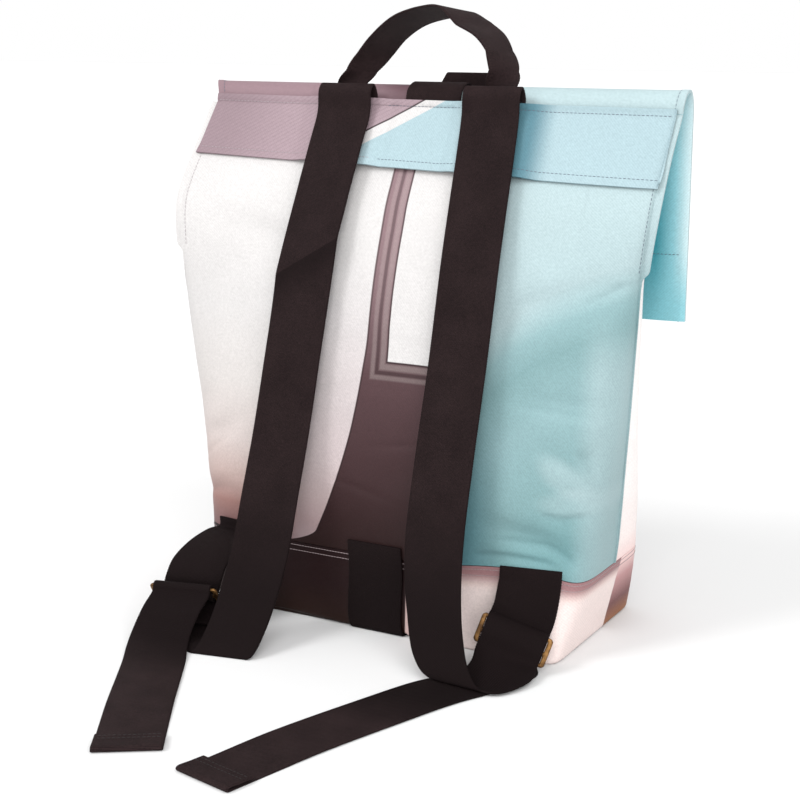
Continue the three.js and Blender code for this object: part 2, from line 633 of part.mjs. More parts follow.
// Lower straps: sewn on the base seam, threaded through the slider, with a free tail on the floor
function anchorStraps(frames) {
  const up = new THREE.Vector3(0, 0, 1);
  const stand = 3 * GAP + WEBBING.thick / 2;
  const root = ({ x, endZ, leaveZ, turn }) =>
    [endZ, leaveZ].map((z) => place(offBack(x, z, stand), turn));
  const right = [
    ...root(ANCHOR_ROOTS.right),
    ...frames.right.thread([
      { along: -24, off: -6.5 },
      { along: -14, off: -6.2 },
      { along: -6.5, off: -3.4 },
      { along: -4.4, off: 0 },
      { along: -2.6, off: 2.6 },
      { along: 0, off: 3.4 },
      { along: 2.6, off: 2.6 },
      { along: 4.5, off: 0 },
      { along: 6.2, off: -2.8 },
      { along: 12, off: -5.4 },
    ]),
    ...places(RIGHT_TAIL),
  ];
  const left = [
    ...root(ANCHOR_ROOTS.left),
    ...places([
      { x: -137, y: -92, z: 66 },
      { x: -140, y: -114, z: 61, turn: 6 },
      { x: -143, y: -131, z: 51, turn: 10 },
      { x: -143, y: -140, z: 40, turn: 13 },
    ]),
    ...frames.left.thread([
      { along: -7, off: -8 },
      { along: -4.6, off: 0 },
      { along: -2.6, off: 2.6 },
      { along: 0, off: 3.4 },
      { along: 2.6, off: 2.6 },
      { along: 4.6, off: 0 },
      { along: 6.2, off: -2.6 },
      { along: 9, off: -3.4 },
      { along: 12, off: -1.6 },
      { along: 12.4, off: 1.6 },
      { along: 9.6, off: 6 },
    ]),
    ...places(LEFT_TAIL),
  ];
  addPiece('anchor_strap_right', webbing(turnedEnd(right, up)), FINISHES.webbing);
  addPiece('anchor_strap_left', webbing(turnedEnd(left, up)), FINISHES.webbing);
}

// Arch of the handle; its ends are folded together lengthwise where they are sewn in
const HANDLE_END_WIDTH = 26;
const HANDLE_OPENING_WIDTH = { first: 28, second: 42 };
const HANDLE_ARCH = [
  { x: -65, y: 9, z: 452, turn: 52, tip: -4, width: HANDLE_OPENING_WIDTH.first },
  { x: -58, y: 18, z: 465, turn: 75, tip: -3, width: HANDLE_OPENING_WIDTH.second },
  { x: -45, y: 20, z: 480, turn: 85, tip: -5 },
  { x: -26, y: 20, z: 493, turn: 85, tip: -8 },
  { x: -4, y: 20, z: 499.5, turn: 82, tip: -9 },
  { x: 16, y: 20, z: 502, turn: 84, tip: -6 },
  { x: 33, y: 20, z: 491, turn: 82, tip: 1 },
  { x: 48, y: 20, z: 481.5, turn: 86, tip: -1 },
  { x: 57.5, y: 18, z: 469.5, turn: 85, tip: -2, width: HANDLE_OPENING_WIDTH.second },
  { x: 66, y: 9, z: 454, turn: 57, tip: -5, width: HANDLE_OPENING_WIDTH.first },
];

// Sewn-in ends of the handle: heights behind the band and over the fold, and the stand-off there
const HANDLE_ROOT = [
  { z: 400, stand: GAP },
  { z: 416, stand: GAP },
  { z: 430, stand: GAP },
  { z: 439, stand: 6 * GAP },
];
const HANDLE_X = { left: STRAP_X.left - 4, right: STRAP_X.right };

function handle() {
  const half = WEBBING.thick / 2;
  const root = (x) =>
    HANDLE_ROOT.map(({ z, stand }) => place(offBack(x, z, stand + half), 0, 0, HANDLE_END_WIDTH));
  const route = [...root(HANDLE_X.left), ...places(HANDLE_ARCH), ...root(HANDLE_X.right).reverse()];
  addPiece('handle', webbing(route), FINISHES.webbing);
}

// Closing straps: heights of their runs behind the band, down the flap and up the base
const CLOSING_TOP = {
  tuckedZs: [400, 416, 429],
  foldShares: [0.25, 0.5, 0.75],
  flapZs: [420, 380, 340, 300, 266],
};
const CLOSING_BASE = {
  hem: { x: -3, z: 75 },
  backX: -1,
  backZs: [52, 30, 10],
  flapZs: [290, 330, 370, 410],
};
const CLOSING_END = { x: 27, z: 450, lean: 2 };

// Run of the lower closing strap under the base and up the front
const UNDER_AND_UP = [
  { x: 1, y: -84.4, z: 2.2 },
  { x: 1, y: -82.4, z: 0.9 },
  { x: 2, y: -40, z: 0.9 },
  { x: 2, y: 40, z: 0.9 },
  { x: 3, y: 77.4, z: 0.9 },
  { x: 3, y: 79.4, z: 2.2 },
  { x: 3, y: 79.6, z: 10 },
  { x: 4, y: 79.6, z: 50 },
  { x: 5, y: 78.4, z: 80 },
  { x: 6, y: 73.4, z: 120 },
  { x: 8, y: 66.8, z: 165 },
];

// One closing strap from behind the band over the flap, one under the base and up the front
function closingStraps(frame) {
  const stand = GAP + WEBBING.thick / 2;
  const x = STRAP_X.closing;
  const arc = foldArc(x);
  const overFold = CLOSING_TOP.foldShares.map((share) => {
    const angle = Math.PI * (1 - share);
    const y = arc.middle + (arc.reach + 2 * stand) * Math.cos(angle);
    return place(new THREE.Vector3(x, y, arc.foot + (CREST_RISE + 1.5 * stand) * Math.sin(angle)));
  });
  const secondLayer = LAYER + 5 * GAP;
  const overFlap = (z, layer) => place(new THREE.Vector3(x, flapHangY(x, z) + stand + layer, z));
  const upper = [
    ...CLOSING_TOP.tuckedZs.map((z) => place(offBack(x, z, stand))),
    ...overFold,
    ...CLOSING_TOP.flapZs.map((z) => overFlap(z, GAP)),
    ...frame.thread([
      { along: -30, off: 1.2 },
      { along: -18, off: 1.6 },
      { along: -14, off: 2.7 },
      { along: -11.6, off: 3 },
      { along: -9.6, off: 2.3 },
      { along: -8.9, off: 0 },
      { along: -9.6, off: -2.3 },
      { along: -11.6, off: -3 },
      { along: -14, off: -2.7 },
      { along: -18, off: -1.6 },
      { along: -30, off: -1 },
    ]),
  ];
  const endY = flapHangY(CLOSING_END.x, PANEL_TOP_Z) + stand + secondLayer + CLOSING_END.lean;
  const lower = [
    place(offBack(CLOSING_BASE.hem.x, CLOSING_BASE.hem.z, stand + GAP)),
    ...CLOSING_BASE.backZs.map((z) => place(offBack(CLOSING_BASE.backX, z, stand + GAP))),
    ...places(UNDER_AND_UP),
    ...frame.thread([
      { along: 26, off: 2.8 },
      { along: 14, off: 3.4 },
      { along: 9, off: 3.2 },
      { along: 4.6, off: 0 },
      { along: 2.6, off: -2.6 },
      { along: 0, off: -3.4 },
      { along: -2.6, off: -2.6 },
      { along: -4.5, off: 0 },
      { along: -8, off: 4 },
      { along: -14, off: 5.4 },
      { along: -28, off: 4.6 },
    ]),
    ...CLOSING_BASE.flapZs.map((z) => overFlap(z, secondLayer)),
    place(new THREE.Vector3(CLOSING_END.x, endY, CLOSING_END.z)),
  ];
  addPiece('closing_strap_top', webbing(upper), FINISHES.webbing);
  const away = new THREE.Vector3(0, 1, 0);
  addPiece('closing_strap_base', webbing(turnedEnd(lower, away)), FINISHES.webbing);
}

const frames = {
  right: sliderFrame(SLIDERS.right),
  left: sliderFrame(SLIDERS.left),
  closing: sliderFrame(SLIDERS.closing),
};
addPiece('base', baseTray(), FINISHES.base);
addPiece('back_panel', backPanel(), FINISHES.back);
addPiece('front_panel', frontPanel(), FINISHES.front);
addPiece('flap', flapSheet(), FINISHES.flap);
addPiece('top_band', topBand(), FINISHES.band);
shoulderStraps(frames);
anchorStraps(frames);
handle();
closingStraps(frames.closing);
addPiece('slider_right', sliderBody(frames.right), FINISHES.slider);
addPiece('slider_left', sliderBody(frames.left), FINISHES.slider);
addPiece('slider_closing', sliderBody(frames.closing), FINISHES.slider);

export default rucksack;
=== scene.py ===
"""Dresses the banner-cloth rucksack: fine cloth, woven straps, stitching, sliders, floor and light."""
import logging
import math
from dataclasses import dataclass, field
from enum import Enum
from typing import Any, Sequence

import bmesh
import bpy
import numpy as np
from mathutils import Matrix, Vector


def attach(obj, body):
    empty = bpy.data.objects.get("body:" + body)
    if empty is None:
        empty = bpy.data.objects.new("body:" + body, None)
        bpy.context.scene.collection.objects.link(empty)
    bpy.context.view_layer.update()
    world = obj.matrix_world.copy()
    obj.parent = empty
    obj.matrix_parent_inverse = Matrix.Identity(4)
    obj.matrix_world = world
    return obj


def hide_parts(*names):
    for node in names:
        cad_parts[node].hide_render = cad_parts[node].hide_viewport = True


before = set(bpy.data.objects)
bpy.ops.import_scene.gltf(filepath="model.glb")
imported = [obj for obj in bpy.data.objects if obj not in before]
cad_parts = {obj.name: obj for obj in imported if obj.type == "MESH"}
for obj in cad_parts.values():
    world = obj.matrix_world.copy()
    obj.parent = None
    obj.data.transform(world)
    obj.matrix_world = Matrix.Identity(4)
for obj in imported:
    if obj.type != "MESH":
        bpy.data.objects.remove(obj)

LOG = logging.getLogger("rucksack")
Array = np.ndarray
Rgba = tuple[float, float, float, float]

# Sizes shared by the pieces, in millimetres
MM = 0.001
CLOTH = 1.6
GAP = 0.3
WEB_WIDTH = 50.0
WEB_THICK = 1.8
LAYER = WEB_THICK + GAP
SEAM_Z = 64.0
PANEL_TOP_Z = 424.0
MOUTH_Z = 421.0
CREST_RISE = 17.7
HEM = 22.0
HEM_MARGIN = 4.0
STITCH_LIFT = 0.15
STRAP_X = {"left": -68.0, "right": 66.0, "closing": 8.0}
SEAM_GAP = 2 * GAP

# How bright the studio makes a white cloth on the carrying side, at the right, under the flap and low down
STUDIO_LIGHT = 1.96
SIDE_LIGHT = 1.25
UNDER_LIGHT = 1.25
BASE_LIGHT = 1.3


def paint(red: int, green: int, blue: int) -> Rgba:
    """Turns a display colour into the linear colour that a shader takes.

    Args:
        red: Red from 0 to 255.
        green: Green from 0 to 255.
        blue: Blue from 0 to 255.

    Returns:
        The linear colour with full alpha.
    """
    steps = [value / 255 for value in (red, green, blue)]
    lin = [s / 12.92 if s <= 0.04045 else ((s + 0.055) / 1.055) ** 2.4 for s in steps]
    return (lin[0], lin[1], lin[2], 1.0)


def ink(red: int, green: int, blue: int, light: float = STUDIO_LIGHT) -> Rgba:
    """Turns a colour seen under the studio light into the cloth's own colour.

    Args:
        red: Red from 0 to 255.
        green: Green from 0 to 255.
        blue: Blue from 0 to 255.
        light: How bright the studio makes a white cloth there.

    Returns:
        The linear colour with full alpha.
    """
    seen = paint(red, green, blue)
    return (seen[0] / light, seen[1] / light, seen[2] / light, 1.0)


def smoothstep(value: Any, low: float, high: float) -> Any:
    """Eases from 0 at low to 1 at high.

    Args:
        value: A number or an array.
        low: Where the rise starts.
        high: Where the rise ends.

    Returns:
        The eased share, of the same shape as value.
    """
    t = np.clip((np.asarray(value, dtype=float) - low) / (high - low), 0, 1)
    return t * t * (3 - 2 * t)


# Shader expressions


class Num:
    """A number socket of a shader tree; arithmetic on it adds Math nodes."""

    def __init__(self, tree: "ShaderTree", socket: bpy.types.NodeSocket) -> None:
        """Wraps one output socket of a tree."""
        self.tree = tree
        self.socket = socket

    def _math(self, operation: str, *operands: Any) -> "Num":
        """Adds one Math node and wraps its result."""
        node = self.tree.node("ShaderNodeMath", {"operation": operation}, dict(enumerate(operands)))
        return Num(self.tree, node.outputs[0])

    def __add__(self, other: Any) -> "Num":
        """Adds."""
        return self._math("ADD", self, other)

    def __radd__(self, other: Any) -> "Num":
        """Adds, with the number first."""
        return self._math("ADD", other, self)

    def __sub__(self, other: Any) -> "Num":
        """Subtracts."""
        return self._math("SUBTRACT", self, other)

    def __rsub__(self, other: Any) -> "Num":
        """Subtracts from a number."""
        return self._math("SUBTRACT", other, self)

    def __mul__(self, other: Any) -> "Num":
        """Multiplies."""
        return self._math("MULTIPLY", self, other)

    def sine(self) -> "Num":
        """Sine of an angle in radians."""
        return self._math("SINE", self)

    def magnitude(self) -> "Num":
        """Absolute value."""
        return self._math("ABSOLUTE", self)

    def most(self, other: Any) -> "Num":
        """The larger of two."""
        return self._math("MAXIMUM", self, other)

    def rise(self, low: float, high: float) -> "Num":
        """Eases from 0 at low to 1 at high.

        Args:
            low: Where the rise starts.
            high: Where the rise ends.

        Returns:
            The eased share.
        """
        inputs = {"Value": self, "From Min": low, "From Max": high}
        node = self.tree.node("ShaderNodeMapRange", {"interpolation_type": "SMOOTHSTEP"}, inputs)
        return Num(self.tree, node.outputs[0])

    def line(self, centre: float, half: float, soft: float) -> "Num":
        """A soft stripe round one value.

        Args:
            centre: Value at the stripe's middle.
            half: Half the stripe's width.
            soft: Width of its soft edge.

        Returns:
            1 on the stripe and 0 off it.
        """
        return 1 - (self - centre).magnitude().rise(half, half + soft)


class ShaderTree:
    """A material's node tree with one principled shader."""

    def __init__(self, name: str) -> None:
        """Makes the material and its shader.

        Args:
            name: The material's name.
        """
        self.material = bpy.data.materials.new(name)
        self.material.use_nodes = True
        self.nodes = self.material.node_tree.nodes
        self.links = self.material.node_tree.links
        self.nodes.clear()
        self.shader = self.node("ShaderNodeBsdfPrincipled", {}, {})
        self.node("ShaderNodeOutputMaterial", {}, {"Surface": self.shader.outputs[0]})

    def node(self, kind: str, settings: dict[str, Any], inputs: dict[Any, Any]) -> bpy.types.Node:
        """Adds any node.

        Args:
            kind: The node's type.
            settings: Properties of the node, set first; "stops" sets a colour ramp.
            inputs: Values or links of its sockets, by name or index.

        Returns:
            The node.
        """
        made = self.nodes.new(kind)
        for key, value in settings.items():
            if key == "stops":
                self.set_stops(made.color_ramp, value)
            else:
                setattr(made, key, value)
        for key, value in inputs.items():
            self.feed(made.inputs[key], value)
        return made

    def set_stops(self, ramp: bpy.types.ColorRamp, rows: Sequence[tuple[float, Rgba]]) -> None:
        """Sets a colour ramp's stops.

        Args:
            ramp: The ramp.
            rows: Positions from 0 to 1 in rising order, with their colours.
        """
        for element, (position, colour) in zip((ramp.elements[0], ramp.elements[-1]), (rows[0], rows[-1])):
            element.position = position
            element.color = colour
        for position, colour in rows[1:-1]:
            ramp.elements.new(position).color = colour

    def feed(self, socket: bpy.types.NodeSocket, value: Any) -> None:
        """Sets or links one socket.

        Args:
            socket: The socket.
            value: A constant, a number of the tree or another socket.
        """
        source = value.socket if isinstance(value, Num) else value
        if isinstance(source, bpy.types.NodeSocket):
            self.links.new(source, socket)
        else:
            socket.default_value = source

    def dress(self, **inputs: Any) -> None:
        """Sets or links the shader's own sockets, named with _ for a space."""
        for key, value in inputs.items():
            self.feed(self.shader.inputs[key.replace("_", " ").title()], value)

    def parts(self, space: str, count: int) -> list[Num]:
        """Coordinates of the surface, in millimetres.

        Args:
            space: Which coordinates.
            count: How many of their parts are wanted.

        Returns:
            The parts.
        """
        coords = self.node("ShaderNodeTexCoord", {}, {})
        parts = self.node("ShaderNodeSeparateXYZ", {}, {0: coords.outputs[space]})
        return [Num(self, socket) * (1 / MM) for socket in list(parts.outputs)[:count]]

    def place(self) -> list[Num]:
        """Object coordinates in millimetres."""
        return self.parts("Object", 3)

    def cloth_place(self) -> list[Num]:
        """The sheet's own coordinates across and along, in millimetres."""
        return self.parts("UV", 2)

    def grain(self, scale: float, detail: float) -> Num:
        """Noise over the surface.

        Args:
            scale: Noise cells in a metre.
            detail: Octaves of the noise.

        Returns:
            Noise from 0 to 1.
        """
        coords = self.node("ShaderNodeTexCoord", {}, {})
        inputs = {"Vector": coords.outputs["Object"], "Scale": scale, "Detail": detail}
        return Num(self, self.node("ShaderNodeTexNoise", {}, inputs).outputs[0])

    def blend(self, share: Num, low: Any, high: Any) -> bpy.types.NodeSocket:
        """Mixes two colours.

        Args:
            share: 0 for low and 1 for high.
            low: A colour or a colour socket.
            high: A colour or a colour socket.

        Returns:
            The mixed colour's socket.
        """
        mix = self.node("ShaderNodeMix", {"data_type": "RGBA"}, {0: share, 6: low, 7: high})
        return mix.outputs[2]

    def scale(self, colour: bpy.types.NodeSocket, amount: Num) -> bpy.types.NodeSocket:
        """Makes a colour lighter or darker.

        Args:
            colour: The colour's socket.
            amount: What it is multiplied by.

        Returns:
            The scaled colour's socket.
        """
        node = self.node("ShaderNodeVectorMath", {"operation": "SCALE"}, {0: colour, "Scale": amount})
        return node.outputs[0]

    def ladder(self, value: Num, rows: Sequence[tuple[float, Rgba]]) -> bpy.types.NodeSocket:
        """Colours that change along a value, such as a height.

        Args:
            value: The value.
            rows: Values in rising order, with their colours.

        Returns:
            The colour's socket.
        """
        low, high = rows[0][0], rows[-1][0]
        stops = [((at - low) / (high - low), colour) for at, colour in rows]
        share = (value - low) * (1 / (high - low))
        return self.node("ShaderNodeValToRGB", {"stops": stops}, {0: share}).outputs[0]

    def bump(self, height: Num, depth: float, strength: float) -> bpy.types.NodeSocket:
        """Raises the surface's normal.

        Args:
            height: Height from 0 to 1.
            depth: Depth of the relief in metres.
            strength: How strong it is.

        Returns:
            The normal's socket.
        """
        inputs = {"Strength": strength, "Distance": depth, "Height": height}
        return self.node("ShaderNodeBump", {}, inputs).outputs[0]


# Finishes


class Print(Enum):
    """Which colours a piece of the banner cloth shows."""

    BACK = "back"
    FRONT = "front"
    BASE = "base"
    FLAP = "flap"
    LINING = "lining"
    BAND = "band"


@dataclass(frozen=True)
class BannerInk:
    """Colours of the printed banner, with tones of painted shade, painted light and painted strap shadow.
    """

    white: Rgba = ink(250, 247, 246)
    cream: Rgba = ink(250, 244, 241)
    rose: Rgba = ink(244, 230, 226)
    blush: Rgba = ink(228, 202, 195)
    heather: Rgba = ink(178, 134, 127)
    lilac: Rgba = ink(224, 205, 210)
    dusk: Rgba = ink(138, 102, 103)
    # Painted shade of the aqua field low down
    aqua_low_shade: Rgba = ink(134, 182, 186)
    # Painted shadow of the right strap on the aqua field
    aqua_strap_shadow: Rgba = ink(100, 152, 162)
    # Painted shade of the aqua field
    aqua_shade: Rgba = ink(150, 190, 193)
    aqua: Rgba = ink(166, 204, 208)
    # Painted light and painted highlight of the aqua field
    aqua_lit: Rgba = ink(204, 229, 233)
    aqua_pale: Rgba = ink(208, 232, 236)
    aqua_band: Rgba = ink(196, 224, 232)
    # Painted shadow of the right strap on the band
    band_strap_shadow: Rgba = ink(100, 150, 165)
    mauve: Rgba = ink(192, 168, 176)
    mauve_left: Rgba = ink(174, 150, 158)
    mauve_light: Rgba = ink(172, 142, 150)
    mauve_deep: Rgba = ink(126, 96, 104)
    stripe: Rgba = ink(168, 137, 143)
    stripe_half: Rgba = ink(156, 126, 131)
    stripe_mid: Rgba = ink(98, 70, 74)
    stripe_low: Rgba = ink(63, 38, 40)
    stripe_foot: Rgba = ink(46, 24, 23)
    shade: Rgba = ink(44, 26, 29)
    plum: Rgba = ink(38, 14, 16)
    umber: Rgba = ink(42, 17, 8)
    beige: Rgba = ink(222, 192, 186, BASE_LIGHT)
    pearl: Rgba = ink(240, 223, 219, BASE_LIGHT)
    # Painted shade on the base's pearly white near the right strap
    pearl_shaded: Rgba = ink(196, 166, 162, BASE_LIGHT)
    seam_brown: Rgba = ink(156, 116, 118, BASE_LIGHT)
    side_white: Rgba = ink(248, 242, 240, SIDE_LIGHT)
    side_rose: Rgba = ink(246, 234, 231, SIDE_LIGHT)
    side_blush: Rgba = ink(240, 208, 205, SIDE_LIGHT)
    side_mauve: Rgba = ink(188, 140, 140, SIDE_LIGHT)
    side_plum: Rgba = ink(110, 62, 62, SIDE_LIGHT)
    side_clay: Rgba = ink(146, 94, 60, SIDE_LIGHT)
    # Tones of the flap's underside, from painted shade near the sack's side to painted light at its free
    # edge
    under_shaded: Rgba = ink(66, 160, 174, UNDER_LIGHT)
    under_even: Rgba = ink(120, 188, 199, UNDER_LIGHT)
    under_clear: Rgba = ink(150, 208, 218, UNDER_LIGHT)
    under_lit: Rgba = ink(222, 242, 245, UNDER_LIGHT)


INK = BannerInk()


@dataclass(frozen=True)
class BannerFinish:
    """Coated banner cloth: a printed satin face with a fine weave under it."""

    scheme: Print
    aqua_from: float = 68.0
    fore_from: float = 15.0
    pearl_from: float = 27.0
    lid_from: float = 30.0
    stripe_left: float = 15.5
    panel_left: float = 4.5
    panel_foot: float = 226.6
    strip_slope: float = 0.53
    strip_low: float = 396.5
    strip_high: float = 406.5
    weave_pitch: float = 1.1
    twill_pitch: float = 2.3
    hatch_pitch: float = 3.2
    roughness: float = 0.46
    specular: float = 0.2

    def material(self) -> bpy.types.Material:
        """Builds the material.

        Returns:
            The material of this piece of cloth.
        """
        tree = ShaderTree(f"banner_{self.scheme.value}")
        x, y, z = tree.place()
        colour = {
            Print.BACK: self.back,
            Print.FRONT: self.front,
            Print.BASE: self.base,
            Print.FLAP: self.flap,
            Print.LINING: self.lining,
            Print.BAND: self.band,
        }[self.scheme](tree, x, y, z)
        u, v = tree.cloth_place()
        turn = 2 * math.pi / self.weave_pitch
        weave = (u * turn).sine() * (v * turn).sine()
        grain = tree.grain(600, 2)
        crumple = tree.grain(24, 3)
        height = weave * 0.12 + grain * 0.35 + crumple * 0.9
        twill = ((u + v) * (2 * math.pi / self.twill_pitch)).sine()
        fleck = (grain - 0.5) * 0.34 + (tree.grain(14, 3) - 0.5) * 0.12 + twill * 0.035
        tree.dress(
            base_color=tree.scale(colour, fleck + 1),
            roughness=self.roughness + (grain - 0.5) * 0.22,
            normal=tree.bump(height, 0.0012, 0.35),
        )
        tree.shader.inputs["Specular IOR Level"].default_value = self.specular
        return tree.material

    def back(self, tree: ShaderTree, x: Num, y: Num, z: Num) -> bpy.types.NodeSocket:
        """White field fading to dusk, a toned stripe round a white panel, and an aqua field with painted
        shade, painted highlights and a painted strap shadow.

        Args:
            tree: The material's tree.
            x: Place across.
            y: Not used.
            z: Height.

        Returns:
            The colour's socket.
        """
        level = z + (x + 120).magnitude() * 0.03 + x.rise(-90, -50) * 6
        ground = tree.ladder(level, (
            (66, INK.dusk), (90, INK.heather), (116, INK.blush),
            (146, INK.rose), (196, INK.cream), (260, INK.white),
        ))
        ground = tree.blend(x.rise(-95, -72) * (1 - z.rise(150, 330)) * 0.55, ground, INK.lilac)
        low = (1 - (z - SEAM_Z) * 0.005).most(0)
        foot = (1 - (z - SEAM_Z) * 0.07).most(0)
        left = x + self.stripe_left + low * low * 51 + foot * foot * 26
        outside = (self.panel_left - x).most(self.panel_foot - z)
        tone = tree.ladder(z, (
            (64, INK.stripe_foot), (110, INK.stripe_low), (215, INK.stripe_mid),
            (300, INK.stripe_half), (390, INK.stripe),
        ))
        for line, share, colour in (
            (outside.line(9.5, 0.7, 1.6), 0.45, INK.shade),
            (outside.line(13.2, 0.8, 2.2), 0.15, INK.rose),
            (outside.line(4.6, 1.2, 2.6), 0.18, INK.rose),
            (outside.line(0.4, 0.7, 0.8), 0.7, INK.shade),
            (left.line(0.6, 0.6, 1.0), 0.55, INK.shade),
        ):
            tone = tree.blend(line * share, tone, colour)
        panel = tree.blend(outside.rise(-0.4, 0.4), INK.white, tone)
        stripe = tree.blend(left.rise(-0.5, 0.5), ground, panel)
        # Painted shade and painted light: the aqua darkens towards the bottom, with a darker band below a
        # curved line across the field, and lightens towards the top
        inward = 190 - x
        shade_sweep = z + inward * 0.25 + inward * inward * 0.0034
        aqua = tree.ladder(shade_sweep, (
            (100, INK.aqua_low_shade), (150, INK.aqua_shade), (215, INK.aqua), (262, INK.aqua_shade),
            (284, INK.aqua), (312, INK.aqua_lit), (370, INK.aqua_pale),
        ))
        # Two soft ovals of painted highlight low down on the right of the aqua field
        ridge_highlight = self.spot(x, z, (157, 149), (34, 17), -38)
        swag_highlight = self.spot(x, z, (166, 129), (38, 17), 5)
        aqua = tree.blend(ridge_highlight * 0.5 + swag_highlight * 0.4, aqua, INK.aqua_lit)
        # Painted light along the aqua field's right edge, below about 250 mm
        edge = x.rise(160, 180) * (1 - z.rise(225, 280)) * 0.6
        aqua = tree.blend(edge, aqua, INK.aqua_lit)
        # Painted shadow of the right strap on the aqua field, low down beside it
        aqua = tree.blend((1 - x.rise(74, 118)) * (1 - z.rise(90, 250)), aqua, INK.aqua_strap_shadow)
        return tree.blend((x - self.aqua_from).rise(-0.5, 0.5), stripe, aqua)

    def spot(
        self, x: Num, z: Num, centre: tuple[float, float], reach: tuple[float, float], turn: float
    ) -> Num:
        """A soft oval of painted highlight.

        Args:
            x: Place across.
            z: Height.
            centre: Middle of the oval.
            reach: Its half length and half width.
            turn: Rise of its long axis, in degrees.

        Returns:
            1 in the middle and 0 outside.
        """
        cos, sin = math.cos(math.radians(turn)), math.sin(math.radians(turn))
        along = ((x - centre[0]) * cos + (z - centre[1]) * sin) * (1 / reach[0])
        off = ((z - centre[1]) * cos - (x - centre[0]) * sin) * (1 / reach[1])
        inside = 1 - (along * along + off * off).rise(0, 1)
        return inside * inside

    def front(self, tree: ShaderTree, x: Num, y: Num, z: Num) -> bpy.types.NodeSocket:
        """Warm white, fading to mauve at its lower edge."""
        return tree.ladder(z, ((60, INK.side_blush), (84, INK.side_rose), (140, INK.side_white)))

    def base(self, tree: ShaderTree, x: Num, y: Num, z: Num) -> bpy.types.NodeSocket:
        """Plum and umber at the left, pearly white at the right with painted shade near the right strap,
        brown round the front.

        Args:
            tree: The material's tree.
            x: Place across.
            y: Place in depth.
            z: Height.

        Returns:
            The colour's socket.
        """
        dark = tree.ladder(z, ((2, INK.umber), (34, INK.plum), (64, INK.plum)))
        bowed = z - x.rise(30, 120) * (1 - x.rise(140, 176)) * z * 0.123
        # Painted shade on the pearly white near the right strap
        light = tree.blend((1 - x.rise(32, 78)) * 0.85, INK.pearl, INK.pearl_shaded)
        light = tree.blend(bowed.rise(44, 54) * 0.5, light, INK.beige)
        light = tree.blend(bowed.rise(48, 60), light, INK.seam_brown)
        rear = tree.blend((x - self.pearl_from).rise(-0.6, 0.6), dark, light)
        rows = ((4, INK.side_clay), (20, INK.side_plum), (44, INK.side_mauve), (62, INK.side_blush))
        fore = tree.ladder(z, rows)
        return tree.blend((y - self.fore_from).rise(-0.6, 0.6), rear, fore)

    def band(self, tree: ShaderTree, x: Num, y: Num, z: Num) -> bpy.types.NodeSocket:
        """Hatched mauve above a slanting dark line, then a white strip, then aqua with a painted shadow of
        the right strap.

        Args:
            tree: The material's tree.
            x: Place across.
            y: Not used.
            z: Height.

        Returns:
            The colour's socket.
        """
        slope = z - (x + 43) * self.strip_slope
        lines = ((z * 0.9 - x * 0.5) * (2 * math.pi / self.hatch_pitch)).sine().rise(0.2, 1.0)
        mauve = tree.blend(x.rise(-200, -110), INK.mauve_left, INK.mauve)
        mauve = tree.blend(lines * 0.16, mauve, INK.mauve_deep)
        # Painted shadow of the right strap on the band's aqua
        aqua = tree.blend((1 - x.rise(98, 122)) * x.rise(60, 62), INK.aqua_band, INK.band_strap_shadow)
        strip = tree.blend((slope - self.strip_low).rise(-0.3, 0.3), aqua, INK.white)
        ground = tree.blend((slope - self.strip_high).rise(-0.3, 0.3), strip, mauve)
        return tree.blend((slope - self.strip_high).line(0.4, 0.5, 0.5) * 0.85, ground, INK.shade)

    def flap(self, tree: ShaderTree, x: Num, y: Num, z: Num) -> bpy.types.NodeSocket:
        """Deep mauve at the left and aqua at the right."""
        mauve = tree.blend(x.rise(-60, -20), INK.mauve_light, INK.mauve_deep)
        return tree.blend((x - self.lid_from).rise(-0.5, 0.5), mauve, INK.aqua_pale)

    def lining(self, tree: ShaderTree, x: Num, y: Num, z: Num) -> bpy.types.NodeSocket:
        """The reverse of the flap: teal, with painted shade deepest near the sack's side and painted light
        at the flap's right edge.

        Args:
            tree: The material's tree.
            x: Place across.
            y: Not used.
            z: Height.

        Returns:
            The colour's socket.
        """
        # Painted shade near the sack's side and painted light towards the flap's edge
        aqua = tree.ladder(x, ((192, INK.under_shaded), (207, INK.under_clear), (220, INK.under_lit)))
        plain = tree.ladder(x, ((188, INK.under_even), (220, INK.under_clear)))
        aqua = tree.blend(z.rise(268, 330), plain, aqua)
        return tree.blend((x - self.lid_from).rise(-0.5, 0.5), INK.mauve, aqua)


